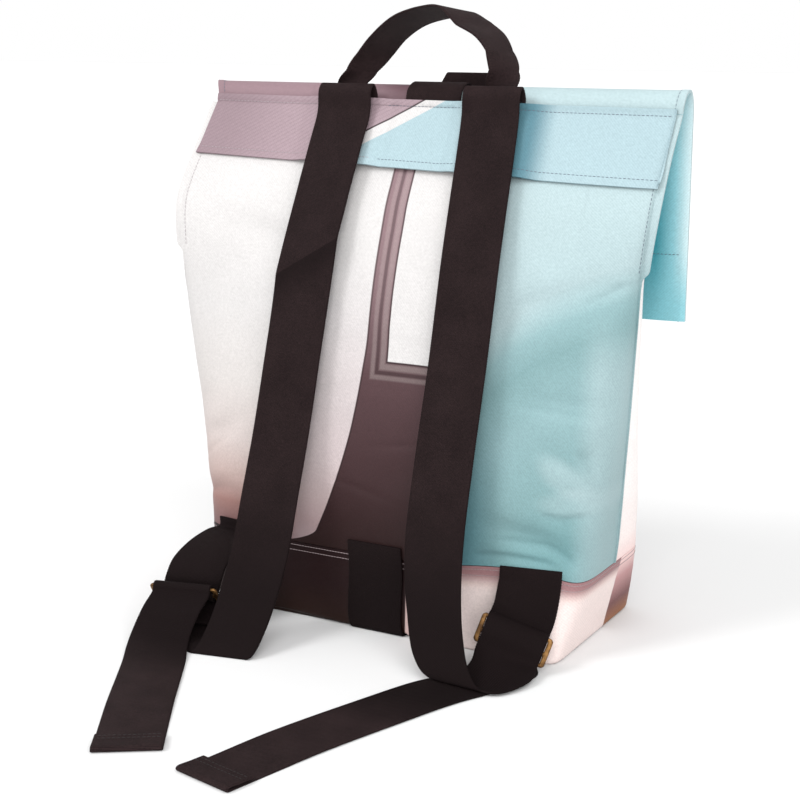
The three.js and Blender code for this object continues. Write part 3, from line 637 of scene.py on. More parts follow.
@dataclass(frozen=True)
class WebbingFinish:
    """Black cotton webbing: a close twill with a dry, slightly dusty surface, with painted shade low down
    and below the left strap's bend, and painted light on the handle's top and on the tails on the floor.
    """

    dark: Rgba = ink(24, 14, 15)
    # Lighter webbing, for wear and for painted light
    worn_and_lit: Rgba = ink(66, 50, 51)
    ribs_per_mm: float = 0.62

    def material(self) -> bpy.types.Material:
        """Builds the material.

        Returns:
            The webbing's material.
        """
        tree = ShaderTree("webbing_cotton")
        u, v = tree.cloth_place()
        turn = 2 * math.pi * self.ribs_per_mm
        twill = ((u * 0.9 + v * 1.35) * turn).sine()
        weft = (v * (turn * 1.9)).sine() * (u * (turn * 1.4)).sine()
        fuzz = tree.grain(1100, 3)
        patch = tree.grain(42, 3)
        height = twill * 0.30 + weft * 0.22 + fuzz * 0.45
        x, y, z = tree.place()
        # Painted shade below the left strap's slanting bend
        crease = z - x * 0.62 - 351
        crease_shade = crease.rise(-34, -0.6) * (1 - crease.rise(-0.6, 0.6)) * (1 - x.rise(-46, -40))
        # Painted shade on the webbing low down near the sack
        low_shade = (1 - z.rise(30, 150)) * y.rise(-260, -180)
        share = (fuzz * 0.8 + patch * 0.25 + twill * 0.08).rise(0.2, 1.0)
        # Painted light on the handle's top and on the tails that lie on the floor
        handle_and_tail_light = z.rise(430, 465) * 0.8 + (1 - y.rise(-260, -190)) * 0.45
        share = share * (1 - crease_shade * 0.7) * (1 - low_shade * 0.92) * (1 + handle_and_tail_light)
        tree.dress(
            base_color=tree.blend(share, self.dark, self.worn_and_lit),
            roughness=0.78 + (fuzz - 0.5) * 0.25,
            normal=tree.bump(height, 0.0006, 0.55),
        )
        tree.shader.inputs["Specular IOR Level"].default_value = 0.08
        return tree.material


@dataclass(frozen=True)
class MetalFinish:
    """Dull antique bronze with darker stains."""

    body: Rgba = paint(140, 104, 62)
    dark: Rgba = paint(74, 50, 28)

    def material(self) -> bpy.types.Material:
        """Builds the material.

        Returns:
            The sliders' material.
        """
        tree = ShaderTree("slider_bronze")
        stain = tree.grain(160, 4)
        fine = tree.grain(1500, 2)
        tree.dress(
            base_color=tree.blend(stain.rise(0.35, 0.7), self.dark, self.body),
            roughness=0.34 + stain * 0.22,
            normal=tree.bump(fine * 0.6 + stain * 0.4, 0.0004, 0.25),
        )
        tree.shader.inputs["Metallic"].default_value = 0.85
        return tree.material


@dataclass(frozen=True)
class ThreadFinish:
    """Sewing thread of one colour."""

    name: str
    colour: Rgba
    pitch: float = 3.4
    length: float = 2.6
    radius: float = 0.26

    def material(self) -> bpy.types.Material:
        """Builds the material.

        Returns:
            The thread's material.
        """
        tree = ShaderTree(f"thread_{self.name}")
        ply = tree.grain(2600, 2)
        tree.dress(
            base_color=tree.blend(ply.rise(0.3, 0.8) * 0.4, self.colour, INK.shade),
            roughness=0.55 + ply * 0.2,
        )
        return tree.material


# Cloth as grids of points


def link(name: str, data: bpy.types.ID) -> bpy.types.Object:
    """Adds an object to the scene.

    Args:
        name: The object's name.
        data: Its mesh, light or camera.

    Returns:
        The object.
    """
    made = bpy.data.objects.new(name, data)
    bpy.context.scene.collection.objects.link(made)
    return made


def between(lines: Array, at: float) -> Array:
    """A line of a row of lines.

    Args:
        lines: The lines, in order.
        at: Which one, or where between two.

    Returns:
        Points of the line.
    """
    low = min(int(at), len(lines) - 2)
    return lines[low] * (1 - at + low) + lines[low + 1] * (at - low)


class Side(Enum):
    """How much of a sheet's thickness stands outside its grid."""

    UNDER = 0.0
    CENTRED = 0.5


@dataclass
class ClothGrid:
    """A sheet of cloth on a grid of points, rows by columns, in millimetres."""

    points: Array
    thick: Any = CLOTH
    side: Side = Side.UNDER
    relief: Any = 0.0

    def normals(self) -> Array:
        """Outward unit normals at the grid's points.

        Returns:
            One normal for each point.
        """
        p = self.points
        across = np.empty_like(p)
        across[:, 1:-1] = p[:, 2:] - p[:, :-2]
        across[:, 0] = p[:, 1] - p[:, 0]
        across[:, -1] = p[:, -1] - p[:, -2]
        along = np.empty_like(p)
        along[1:-1] = p[2:] - p[:-2]
        along[0] = p[1] - p[0]
        along[-1] = p[-1] - p[-2]
        normal = np.cross(across, along)
        return normal / np.maximum(np.linalg.norm(normal, axis=2, keepdims=True), 1e-9)

    def offset(self, amount: Any) -> Array:
        """The grid's points, moved out along their normals.

        Args:
            amount: How far, as one number or one for each point.

        Returns:
            The moved points.
        """
        reach = np.broadcast_to(np.asarray(amount), self.points.shape[:2])
        return self.points + self.normals() * reach[..., None]

    def outer(self) -> Array:
        """Points of the outer face."""
        return self.offset(self.thick * self.side.value + self.relief)

    def inner(self) -> Array:
        """Points of the inner face."""
        return self.offset(self.thick * (self.side.value - 1.0))

    def measure(self) -> tuple[Array, Array]:
        """Lengths across and along the cloth at each point, in millimetres.

        Returns:
            The lengths across and the lengths along.
        """
        p = self.points
        across = np.zeros(p.shape[:2])
        across[:, 1:] = np.cumsum(np.linalg.norm(np.diff(p, axis=1), axis=2), axis=1)
        along = np.zeros(p.shape[:2])
        along[1:] = np.cumsum(np.linalg.norm(np.diff(p, axis=0), axis=2), axis=0)
        return across, along

    def flat(self) -> tuple[float, float]:
        """Longest width and length of the cloth laid flat, in metres."""
        across, along = self.measure()
        return float(across[:, -1].max()) * MM, float(along[-1].max()) * MM

    def area(self) -> float:
        """Flat area of the cloth in square metres.

        Returns:
            The area.
        """
        p = self.points
        one = np.linalg.norm(np.cross(p[1:, 1:] - p[:-1, :-1], p[:-1, 1:] - p[1:, :-1]), axis=2)
        return float(one.sum()) * 0.5 * MM * MM

    def build(
        self, name: str, face: bpy.types.Material, back: bpy.types.Material | None = None
    ) -> bpy.types.Object:
        """Makes the sheet's closed mesh.

        Args:
            name: The piece's name.
            face: Material of the outer face and the edges.
            back: Material of the inner face, if it differs.

        Returns:
            The piece.
        """
        rows, columns = self.points.shape[:2]
        count = rows * columns
        index = np.arange(count).reshape(rows, columns)
        a, b, c, d = index[:-1, :-1], index[:-1, 1:], index[1:, 1:], index[1:, :-1]
        top = np.stack([a, b, c, d], axis=-1).reshape(-1, 4)
        under = np.stack([a, d, c, b], axis=-1).reshape(-1, 4) + count
        ring = np.concatenate([index[0, :-1], index[:-1, -1], index[-1, :0:-1], index[:0:-1, 0]])
        ahead = np.roll(ring, -1)
        edge = np.stack([ahead, ring, ring + count, ahead + count], axis=-1)
        faces = np.concatenate([top, under, edge])
        verts = np.concatenate([self.outer().reshape(-1, 3), self.inner().reshape(-1, 3)]) * MM
        verts[:, 2] = np.maximum(verts[:, 2], 0)
        across, along = self.measure()
        spots = np.stack([across, along], axis=-1).reshape(-1, 2) * MM
        piece = solid(name, verts, faces, np.concatenate([spots, spots]), [face] + ([back] if back else []))
        if back:
            slots = np.zeros(len(faces), dtype=np.int32)
            slots[len(top) : len(top) + len(under)] = 1
            piece.data.polygons.foreach_set("material_index", slots)
        return piece

    def row_line(self, row: float, lift: float = STITCH_LIFT) -> Array:
        """A line that stands a little over one row of the outer face."""
        return between(self.outer() + self.normals() * lift, row)

    def column_line(self, column: float) -> Array:
        """A line that stands a little over one column of the outer face."""
        return between((self.outer() + self.normals() * STITCH_LIFT).swapaxes(0, 1), column)


def solid(
    name: str, verts: Array, faces: Array, spots: Array, materials: Sequence[bpy.types.Material]
) -> bpy.types.Object:
    """Makes a smooth mesh object with its own cloth coordinates.

    Args:
        name: The piece's name.
        verts: Points in metres.
        faces: Four-cornered faces.
        spots: Cloth coordinates of each point, in metres.
        materials: Materials of the piece's slots.

    Returns:
        The piece.
    """
    mesh = bpy.data.meshes.new(name)
    mesh.from_pydata(verts.tolist(), [], faces.tolist())
    layer = mesh.uv_layers.new(name="cloth")
    corners = np.empty(len(mesh.loops), dtype=np.int32)
    mesh.loops.foreach_get("vertex_index", corners)
    layer.data.foreach_set("uv", spots[corners].astype(np.float32).ravel())
    mesh.polygons.foreach_set("use_smooth", np.ones(len(mesh.polygons), dtype=bool))
    for material in materials:
        mesh.materials.append(material)
    mesh.set_sharp_from_angle(angle=math.radians(50))
    mesh.validate()
    return link(name, mesh)


def settle(piece: bpy.types.Object, slot: str, *nodes: str) -> None:
    """Lets a finished piece stand for its solids.

    Args:
        piece: The finished piece.
        slot: Not used.
        nodes: Solids that it stands for.
    """
    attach(piece, "root")
    if nodes:
        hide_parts(*nodes)
    LOG.info("%s: %d faces", piece.name, len(piece.data.polygons))


def even(points: Array, count: int) -> Array:
    """Spaces points evenly along a polyline.

    Args:
        points: The polyline.
        count: How many points are wanted.

    Returns:
        The evenly spaced points.
    """
    step = np.linalg.norm(np.diff(points, axis=0), axis=1)
    run = np.concatenate([[0.0], np.cumsum(step)])
    want = np.linspace(0, run[-1], count)
    return np.stack([np.interp(want, run, points[:, k]) for k in range(points.shape[1])], axis=1)


# The sack's form


@dataclass(frozen=True)
class Level:
    """One level of the sack: half widths, back, front and seam lines, and how square it is."""

    z: float
    left: float
    right: float
    back: float
    front: float
    seam_left: float
    seam_right: float
    power: float


@dataclass(frozen=True)
class Fold:
    """A dent or crease of the cloth: middle, depth, reach along and across it, and its slope."""

    x: float
    z: float
    depth: float
    along: float
    across: float
    slope: float


LEVELS = (
    Level(0, 162, 161, -83, 78, 0, 0, 22),
    Level(32, 172, 168, -82, 78, -1, -1, 12),
    Level(SEAM_Z, 182, 176, -80, 77, -4, -2, 6.5),
    Level(110, 191, 182, -80, 72, -10, -8, 4.8),
    Level(160, 198, 187, -78, 63, -22, -13, 3.6),
    Level(210, 204, 191, -74, 54, -36, -16, 3),
    Level(260, 207, 195, -66, 44, -48, -20, 2.6),
    Level(302, 207, 198, -56, 36, -54, -22, 2.3),
    Level(345, 209, 203, -40, 31, -50, -19, 2.2),
    Level(390, 210, 206, -17, 27, -18, -4, 2.2),
    Level(PANEL_TOP_Z, 209, 210, -1, 23, 6, 7, 2.2),
)
DENTS = (
    Fold(140, 284, 6, 62, 12, 20),
    Fold(165, 145, 4, 26, 9, -45),
    Fold(160, 204, 3, 34, 10, -6),
    Fold(138, 92, 4, 38, 11, -14),
    Fold(-166, 148, 3, 28, 9, 30),
    Fold(-172, 96, 3, 24, 8, 12),
    Fold(-120, 318, 4, 60, 14, -12),
)
CREASES = (
    Fold(157, 149, -2.6, 20, 6.5, -38),
    Fold(150, 198, 0.9, 26, 2.8, -8),
    Fold(190, 296, 2.2, 9, 3.0, 12),
    Fold(178, 289, 1.5, 20, 2.8, 24),
    Fold(152, 350, 0.8, 26, 2.0, 86),
    Fold(-172, 132, 1.3, 22, 2.6, 36),
    Fold(-178, 92, 1.3, 18, 2.6, 16),
    Fold(-150, 226, 0.7, 36, 2.8, 74),
    Fold(-120, 116, 0.7, 30, 2.8, 10),
    Fold(-20, 120, 0.6, 30, 2.6, -12),
    Fold(20, 160, 0.6, 26, 2.6, 8),
)


@dataclass(frozen=True)
class Pleat:
    """A sharp fold line: its path, and how the cloth falls away on the right of it and comes back."""

    path: tuple[tuple[float, float], ...]
    depth: float
    fall: float
    fade: float


PLEATS = (
    Pleat(((96, 99), (118, 100), (146, 98.5), (158, 94), (168, 86), (173, 77), (175, 66)), 1.7, 5, 9),
    Pleat(((78, 83), (101, 86), (118, 87), (137, 86), (148, 85), (156, 82), (163, 74)), 2.4, 4.5, 8),
    Pleat(((186, 124), (179, 143), (171, 156), (160, 169)), 3.4, 5, 9),
    Pleat(((140, 124), (160, 121), (181, 124)), 1.8, 5, 12),
)


@dataclass(frozen=True)
class SeamBow:
    """Bow of the back seam towards the right corner."""

    height: float = 9
    from_x: float = 30
    full_x: float = 120
    fade_x: float = 140
    end_x: float = 176
    fade_z: float = 150

    def rise(self, x: Any, z: Any) -> Array:
        """Rise of the cloth round the seam.

        Args:
            x: Places across.
            z: Heights.

        Returns:
            The rise at those places.
        """
        level = np.where(z < SEAM_Z, np.asarray(z) / SEAM_Z, 1 - smoothstep(z, SEAM_Z, self.fade_z))
        across = smoothstep(x, self.from_x, self.full_x) * (1 - smoothstep(x, self.fade_x, self.end_x))
        return self.height * level * across


SEAM_BOW = SeamBow()
FLANGE = {"low": 1.2, "high": 6.5, "from_z": 299.0, "to_z": 307.0}
FLAT_FROM_Z = 220.0


class Face(Enum):
    """The two faces of the sack."""

    BACK = "back"
    FRONT = "front"


@dataclass(frozen=True)
class SackForm:
    """The sack's skin, and what lies on its back."""

    seed: int = 11
    waves: int = 22
    shortest: float = 24
    longest: float = 95
    ripple: float = 0.32
    row_samples: int = 721

    def column(self, name: str, z: Any) -> Array:
        """One column of the levels, on a smooth curve through them.

        Args:
            name: The column.
            z: Heights.

        Returns:
            The column's values at those heights.
        """
        heights = np.array([level.z for level in LEVELS])
        values = np.array([getattr(level, name) for level in LEVELS])
        last = len(LEVELS) - 1
        before = np.maximum(np.arange(last + 1) - 1, 0)
        after = np.minimum(np.arange(last + 1) + 1, last)
        slope = (values[after] - values[before]) / (heights[after] - heights[before])
        z = np.asarray(z, dtype=float)
        i = np.clip(np.searchsorted(heights, z, side="left") - 1, 0, last - 1)
        span = heights[i + 1] - heights[i]
        t = (z - heights[i]) / span
        bulge = (1 - t) ** 2 * t * slope[i] - t * t * (1 - t) * slope[i + 1]
        return values[i] + (values[i + 1] - values[i]) * t * t * (3 - 2 * t) + bulge * span

    def folds(self, table: Sequence[Fold], x: Any, z: Any) -> Array:
        """Depth of a table's folds at points of the back.

        Args:
            table: The folds.
            x: Places across.
            z: Heights.

        Returns:
            The depth at those places.
        """
        total = np.zeros(np.broadcast(x, z).shape)
        for fold in table:
            turn = math.radians(fold.slope)
            u = (x - fold.x) * math.cos(turn) + (z - fold.z) * math.sin(turn)
            v = (z - fold.z) * math.cos(turn) - (x - fold.x) * math.sin(turn)
            total = total + fold.depth * np.exp(-((u / fold.along) ** 2) - (v / fold.across) ** 2)
        return total

    def pleats(self, x: Array, z: Array) -> Array:
        """Depth of the sharp folds at points of the back.

        Args:
            x: Places across.
            z: Heights.

        Returns:
            How far the cloth falls back there.
        """
        total = np.zeros(x.shape)
        for pleat in PLEATS:
            path = np.array(pleat.path, dtype=float)
            steps = np.linalg.norm(np.diff(path, axis=0), axis=1)
            starts = np.concatenate([[0.0], np.cumsum(steps)])
            near = np.full(x.shape, 1e9)
            off = np.zeros(x.shape)
            way = np.zeros(x.shape)
            for k, length in enumerate(steps):
                dx, dz = (path[k + 1] - path[k]) / length
                t = np.clip((x - path[k, 0]) * dx + (z - path[k, 1]) * dz, 0, length)
                ox = x - path[k, 0] - t * dx
                oz = z - path[k, 1] - t * dz
                far = np.hypot(ox, oz)
                closer = far < near
                near = np.where(closer, far, near)
                off = np.where(closer, np.sign(dz * ox - dx * oz) * far, off)
                way = np.where(closer, (starts[k] + t) / starts[-1], way)
            taper = smoothstep(way, 0, 0.25) * (1 - smoothstep(way, 0.75, 1))
            fall = smoothstep(off, 0, pleat.fall) * np.exp(-np.maximum(off - pleat.fall, 0) / pleat.fade)
            total = total + pleat.depth * taper * fall
        return total

    def crumple(self, x: Array, z: Array) -> Array:
        """A gentle unevenness of the cloth, from seeded plane waves.

        Args:
            x: Places across.
            z: Heights.

        Returns:
            The rise at those places.
        """
        rng = np.random.default_rng(self.seed)
        total = np.zeros(x.shape)
        for _ in range(self.waves):
            length = rng.uniform(self.shortest, self.longest)
            turn = rng.uniform(0, math.pi)
            phase = rng.uniform(0, 2 * math.pi)
            along = x * math.cos(turn) + z * math.sin(turn)
            total += np.sin(along * 2 * math.pi / length + phase) * length / 60
        return total * self.ripple / math.sqrt(self.waves / 2)

    def seam_step(self, z: Any) -> Array:
        """How far the front panel's edge stays in front of the seam line."""
        return CLOTH + GAP + (CLOTH + 2 * GAP) * smoothstep(z, FLAT_FROM_Z, FLANGE["from_z"])

    def point(self, share: Any, z: Any, face: Face) -> Array:
        """Points of the skin.

        Args:
            share: Shares of the half width, from -1 at the left seam to 1 at the right.
            z: Heights.
            face: Which face.

        Returns:
            The points, in millimetres.
        """
        share, z = np.broadcast_arrays(np.asarray(share, dtype=float), np.asarray(z, dtype=float))
        half = np.where(share < 0, self.column("left", z), self.column("right", z))
        seam = np.where(share < 0, self.column("seam_left", z), self.column("seam_right", z))
        if face is Face.FRONT:
            seam = seam + np.where(z > SEAM_Z, self.seam_step(z), 0)
        power = self.column("power", z)
        full = np.maximum(1 - np.abs(share) ** power, 0) ** (1 / power)
        x = share * half
        y = seam + (self.column(face.value, z) - seam) * full
        if face is Face.FRONT:
            return np.stack([x, y, z], axis=-1)
        y = y + self.folds(DENTS, x, z) * full * (z > SEAM_Z)
        return np.stack([x, y, z + SEAM_BOW.rise(x, z)], axis=-1)

    def row(self, z: float, face: Face, count: int) -> Array:
        """Evenly spaced points of the skin at one height, from the left seam to the right.

        Args:
            z: Height.
            face: Which face.
            count: How many points are wanted.

        Returns:
            The points, in millimetres.
        """
        power = float(self.column("power", z))
        theta = np.linspace(-math.pi / 2, math.pi / 2, self.row_samples)
        share = np.sign(theta) * np.abs(np.sin(theta)) ** (2 / power)
        return even(self.point(share, np.full(share.shape, z), face), count)

    def skin(self, x: float, z: float) -> float:
        """Depth of the back's outer face, carried on over the lower part of the top fold.

        Args:
            x: Place across.
            z: Height.

        Returns:
            The depth.
        """
        if z <= PANEL_TOP_Z:
            level = z - float(SEAM_BOW.rise(x, z))
            return float(self.point(self.share_at(x, z), level, Face.BACK)[1])
        middle, reach, foot = self.fold_arc(x)
        rise = min(max((z - foot) / CREST_RISE, 0.0), 1.0)
        return middle - reach * math.sqrt(1 - rise * rise)

    def share_at(self, x: float, z: float) -> float:
        """Share of the half width at a given x."""
        half = float(self.column("left" if x < 0 else "right", z))
        return min(max(x / half, -1.0), 1.0)

    def hang(self, x: float, z: float) -> float:
        """Depth of the flap's outer face where it hangs down.

        Args:
            x: Place across.
            z: Height.

        Returns:
            The depth.
        """
        reach = min(abs(x) / FLAP.left, 1.0)
        full = float(self.column("front", min(z, PANEL_TOP_Z))) + FLAP.stand
        return FLAP.edge_y + (full - FLAP.edge_y) * (1 - reach**FLAP.fullness)

    def fold_arc(self, x: float) -> tuple[float, float, float]:
        """Middle, reach and foot of the top fold at one x.

        Args:
            x: Place across.

        Returns:
            The middle, the reach and the foot.
        """
        start = float(self.point(self.share_at(x, PANEL_TOP_Z), PANEL_TOP_Z, Face.BACK)[1])
        end = self.hang(x, PANEL_TOP_Z)
        return (start + end) / 2, (end - start) / 2, PANEL_TOP_Z + GAP

    def off_back(self, x: float, z: float, stand: float) -> Array:
        """A point standing off the back along its normal.

        Args:
            x: Place across.
            z: Height.
            stand: How far it stands off.

        Returns:
            The point.
        """
        slope_x = (self.skin(x + 1, z) - self.skin(x - 1, z)) / 2
        slope_z = self.skin(x, z + 0.5) - self.skin(x, z - 0.5)
        normal = np.array([slope_x, -1.0, slope_z])
        return np.array([x, self.skin(x, z), z]) + normal / np.linalg.norm(normal) * stand


# Stitching


@dataclass
class StitchWork:
    """Rows of stitches, laid along lines on the cloth by one geometry tree."""

    runs: dict[str, list[Array]] = field(default_factory=dict)
    spacing: float = 2.0

    def add(self, thread: str, line: Array, reach: float = 0.0) -> None:
        """Adds a run of stitches.

        Args:
            thread: Name of the thread.
            line: Points of the run, in millimetres.
            reach: Length left bare at both ends.
        """
        count = max(int(np.linalg.norm(np.diff(line, axis=0), axis=1).sum() / self.spacing), 4)
        spaced = even(line, count)
        bare = int(reach / self.spacing)
        self.runs.setdefault(thread, []).append(spaced[bare : len(spaced) - bare])

    def tree(self, name: str, material: bpy.types.Material) -> bpy.types.GeometryNodeTree:
        """Builds the tree that sets a stitch at each step of a line.

        Args:
            name: The tree's name.
            material: The thread's material.

        Returns:
            The tree.
        """
        group = bpy.data.node_groups.new(name, "GeometryNodeTree")
        face = group.interface
        face.new_socket("Lines", in_out="INPUT", socket_type="NodeSocketGeometry")
        for label in ("Pitch", "Stitch Length", "Thread Radius"):
            face.new_socket(label, in_out="INPUT", socket_type="NodeSocketFloat")
        face.new_socket("Stitches", in_out="OUTPUT", socket_type="NodeSocketGeometry")

        def add(kind: str, **inputs: Any) -> bpy.types.Node:
            """Adds a node and feeds its sockets, named with _ for a space.

            Args:
                kind: The node's type.
                inputs: Values or links of its sockets.

            Returns:
                The node.
            """
            node = group.nodes.new(kind)
            for key, value in inputs.items():
                socket = node.inputs[key.replace("_", " ")]
                if isinstance(value, bpy.types.NodeSocket):
                    group.links.new(value, socket)
                else:
                    socket.default_value = value
            return node

        given = group.nodes.new("NodeGroupInput").outputs
        curve = add("GeometryNodeMeshToCurve", Mesh=given["Lines"])
        points = group.nodes.new("GeometryNodeCurveToPoints")
        points.mode = "LENGTH"
        group.links.new(curve.outputs[0], points.inputs["Curve"])
        group.links.new(given["Pitch"], points.inputs["Length"])
        aim = group.nodes.new("FunctionNodeAlignRotationToVector")
        aim.axis = "Z"
        group.links.new(points.outputs["Tangent"], aim.inputs["Vector"])
        bead = add("GeometryNodeMeshUVSphere", Segments=6, Rings=5, Radius=1.0)
        half = group.nodes.new("ShaderNodeMath")
        half.operation = "MULTIPLY"
        half.inputs[1].default_value = 0.5
        group.links.new(given["Stitch Length"], half.inputs[0])
        size = add(
            "ShaderNodeCombineXYZ", X=given["Thread Radius"], Y=given["Thread Radius"], Z=half.outputs[0]
        )
        laid = add(
            "GeometryNodeInstanceOnPoints",
            Points=points.outputs["Points"],
            Instance=bead.outputs["Mesh"],
            Rotation=aim.outputs[0],
            Scale=size.outputs[0],
        )
        real = add("GeometryNodeRealizeInstances", Geometry=laid.outputs[0])
        smooth = add("GeometryNodeSetShadeSmooth", Geometry=real.outputs[0])
        done = add("GeometryNodeSetMaterial", Geometry=smooth.outputs[0], Material=material)
        out = group.nodes.new("NodeGroupOutput")
        group.links.new(done.outputs[0], out.inputs[0])
        return group

    def lay(self, thread: ThreadFinish, slot: str) -> None:
        """Lays every run of one thread as a plain mesh.

        Args:
            thread: The thread.
            slot: The record's slot of the cloth that it is sewn in.
        """
        verts: list[list[float]] = []
        edges: list[tuple[int, int]] = []
        for run in self.runs.get(thread.name, []):
            start = len(verts)
            verts.extend((run * MM).tolist())
            edges.extend((start + k, start + k + 1) for k in range(len(run) - 1))
        name = f"stitches_{thread.name}"
        lines = bpy.data.meshes.new(f"{name}_lines")
        lines.from_pydata(verts, edges, [])
        guide = link(f"{name}_guide", lines)
        group = self.tree(name, thread.material())
        modifier = guide.modifiers.new("stitches", "NODES")
        modifier.node_group = group
        sizes = {"Pitch": thread.pitch, "Stitch Length": thread.length, "Thread Radius": thread.radius}
        for item in group.interface.items_tree:
            if item.item_type == "SOCKET" and item.name in sizes:
                modifier[item.identifier] = sizes[item.name] * MM
        graph = bpy.context.evaluated_depsgraph_get()
        mesh = bpy.data.meshes.new_from_object(guide.evaluated_get(graph))
        bpy.data.objects.remove(guide)
        settle(link(name, mesh), slot)


# Webbing


@dataclass(frozen=True)
class Spot:
    """A place on a webbing's middle line: turn and tip aim its width, in plan and up from level."""

    x: float
    y: float
    z: float
    turn: float = 0.0
    tip: float = 0.0
    width: float = WEB_WIDTH


def spot(point: Array, turn: float = 0.0, tip: float = 0.0, width: float = WEB_WIDTH) -> Spot:
    """Makes a place of a point."""
    return Spot(float(point[0]), float(point[1]), float(point[2]), turn, tip, width)


@dataclass(frozen=True)
class Bend:
    """A slanting bend across a strap: its height at both edges, how far it stands out, and its reach."""

    left_z: float
    right_z: float
    proud: float
    reach_up: float
    reach_down: float

    def relief(self, share: Array, z: Array) -> Array:
        """How far the webbing stands out.

        Args:
            share: Places across, from -1 to 1.
            z: Heights.

        Returns:
            The distance at those places.
        """
        past = z - (self.left_z + (self.right_z - self.left_z) * (share + 1) / 2)
        far = np.sqrt(past * past + 2.0) - math.sqrt(2.0)
        return self.proud * np.exp(-far / np.where(past > 0, self.reach_up, self.reach_down))


@dataclass
class Webbing:
    """A strip of webbing along a smooth curve through its places."""

    route: list[Spot]
    bend: Bend | None = None
    step: float = 1.0
    selvedge: float = 0.28
    columns: tuple[float, ...] = (-1, -0.965, -0.9, -0.6, -0.3, 0, 0.3, 0.6, 0.9, 0.965, 1)
    edge_thick: float = 1.0
    bend_free_y: float = -20.0

    def curve(self, k: int, t: Array) -> Array:
        """Points of the middle line between two places.

        Args:
            k: Index of the first of the two.
            t: Shares of the way.

        Returns:
            The points.
        """
        p = np.array([[s.x, s.y, s.z] for s in self.route])
        one, two = p[k], p[k + 1]
        zero = p[k - 1] if k > 0 else 2 * p[0] - p[1]
        three = p[k + 2] if k + 2 < len(p) else 2 * p[-1] - p[-2]
        d0, d1, d2 = (math.sqrt(np.linalg.norm(b - a)) for a, b in ((zero, one), (one, two), (two, three)))
        m1 = ((one - zero) / d0 - (two - zero) / (d0 + d1) + (two - one) / d1) * d1
        m2 = ((two - one) / d1 - (three - one) / (d1 + d2) + (three - two) / d2) * d1
        t = t[:, None]
        h1 = (1 + 2 * t) * (1 - t) ** 2
        h2 = t * t * (3 - 2 * t)
        return h1 * one + h2 * two + t * (1 - t) ** 2 * m1 - t * t * (1 - t) * m2

    def grid(self) -> ClothGrid:
        """The webbing's grid, with toothed selvedges.

        Returns:
            The grid with its thickness.
        """
        centres: list[Array] = []
        aims: list[Array] = []
        halves: list[Array] = []
        last = len(self.route) - 1
        for k in range(last):
            here, there = self.route[k], self.route[k + 1]
            gap = math.dist((here.x, here.y, here.z), (there.x, there.y, there.z))
            count = max(3, round(gap / self.step))
            t = np.linspace(0, 1, count, endpoint=False) if k < last - 1 else np.linspace(0, 1, count + 1)
            turn = np.radians(here.turn + (there.turn - here.turn) * t)
            tip = np.radians(here.tip + (there.tip - here.tip) * t)
            centres.append(self.curve(k, t))
            level = np.cos(tip)
            aims.append(np.stack([level * np.cos(turn), level * np.sin(turn), np.sin(tip)], axis=1))
            halves.append((here.width + (there.width - here.width) * t) / 2)
        centre = np.concatenate(centres)
        aim = np.concatenate(aims)
        half = np.concatenate(halves)
        shares = np.array(self.columns)
        reach = half[:, None] * shares[None, :]
        tooth = self.selvedge * (np.arange(len(centre)) % 2 - 0.5)
        reach[:, 0] -= tooth
        reach[:, -1] += tooth
        points = centre[:, None, :] + aim[:, None, :] * reach[..., None]
        thick = np.where(np.abs(shares) > 0.99, self.edge_thick, WEB_THICK)
        thick = np.broadcast_to(thick, points.shape[:2])
        grid = ClothGrid(points, thick, Side.CENTRED)
        if self.bend:
            free = np.where(points[..., 1] < self.bend_free_y, 1.0, 0.0)
            relief = self.bend.relief(np.broadcast_to(shares, points.shape[:2]), points[..., 2]) * free
            grid.points = points + np.array([0.0, -1.0, 0.0]) * relief[..., None]
        return grid

    def length(self) -> float:
        """Length of the webbing along its middle, in metres."""
        points = self.grid().points[:, len(self.columns) // 2]
        return float(np.linalg.norm(np.diff(points, axis=0), axis=1).sum()) * MM


def places(*rows: tuple[float, ...]) -> list[Spot]:
    """Makes a route of rows of numbers."""
    return [Spot(*row) for row in rows]


def heading(route: list[Spot]) -> tuple[Array, Array]:
    """A webbing's end, and the way it points there.

    Args:
        route: The webbing's places.

    Returns:
        The end point and the unit direction of the last step.
    """
    before, tip = (np.array([s.x, s.y, s.z]) for s in route[-2:])
    return tip, (tip - before) / np.linalg.norm(tip - before)


def turned_end(route: list[Spot], side: Sequence[float]) -> list[Spot]:
    """Turns a webbing's end back along itself.

    Args:
        route: The webbing's places.
        side: Direction of the side it is turned to.

    Returns:
        The places with the turned end added.
    """
    end = route[-1]
    tip, ahead = heading(route)
    off = np.array(side, dtype=float)
    spots = ((LAYER / 2, LAYER / 2), (0.0, LAYER), (-HEM / 2, LAYER), (-HEM, LAYER))
    return route + [spot(tip + ahead * a + off * o, end.turn, end.tip) for a, o in spots]


def hem_rows(route: list[Spot], side: Sequence[float], offsets: Sequence[float]) -> list[Array]:
    """Lines of stitches across a webbing's turned end.

    Args:
        route: The places up to the turn.
        side: Direction of the side it is turned to.
        offsets: Distances of the rows from the fold.

    Returns:
        The lines.
    """
    tip, ahead = heading(route)
    turn = math.radians(route[-1].turn)
    aim = np.array([math.cos(turn), math.sin(turn), 0.0])
    off = np.array(side, dtype=float) * (LAYER + WEB_THICK / 2 + 0.1)
    reach = WEB_WIDTH / 2 - HEM_MARGIN
    middles = [tip - ahead * back + off for back in offsets]
    return [np.stack([middle - aim * reach, middle + aim * reach]) for middle in middles]


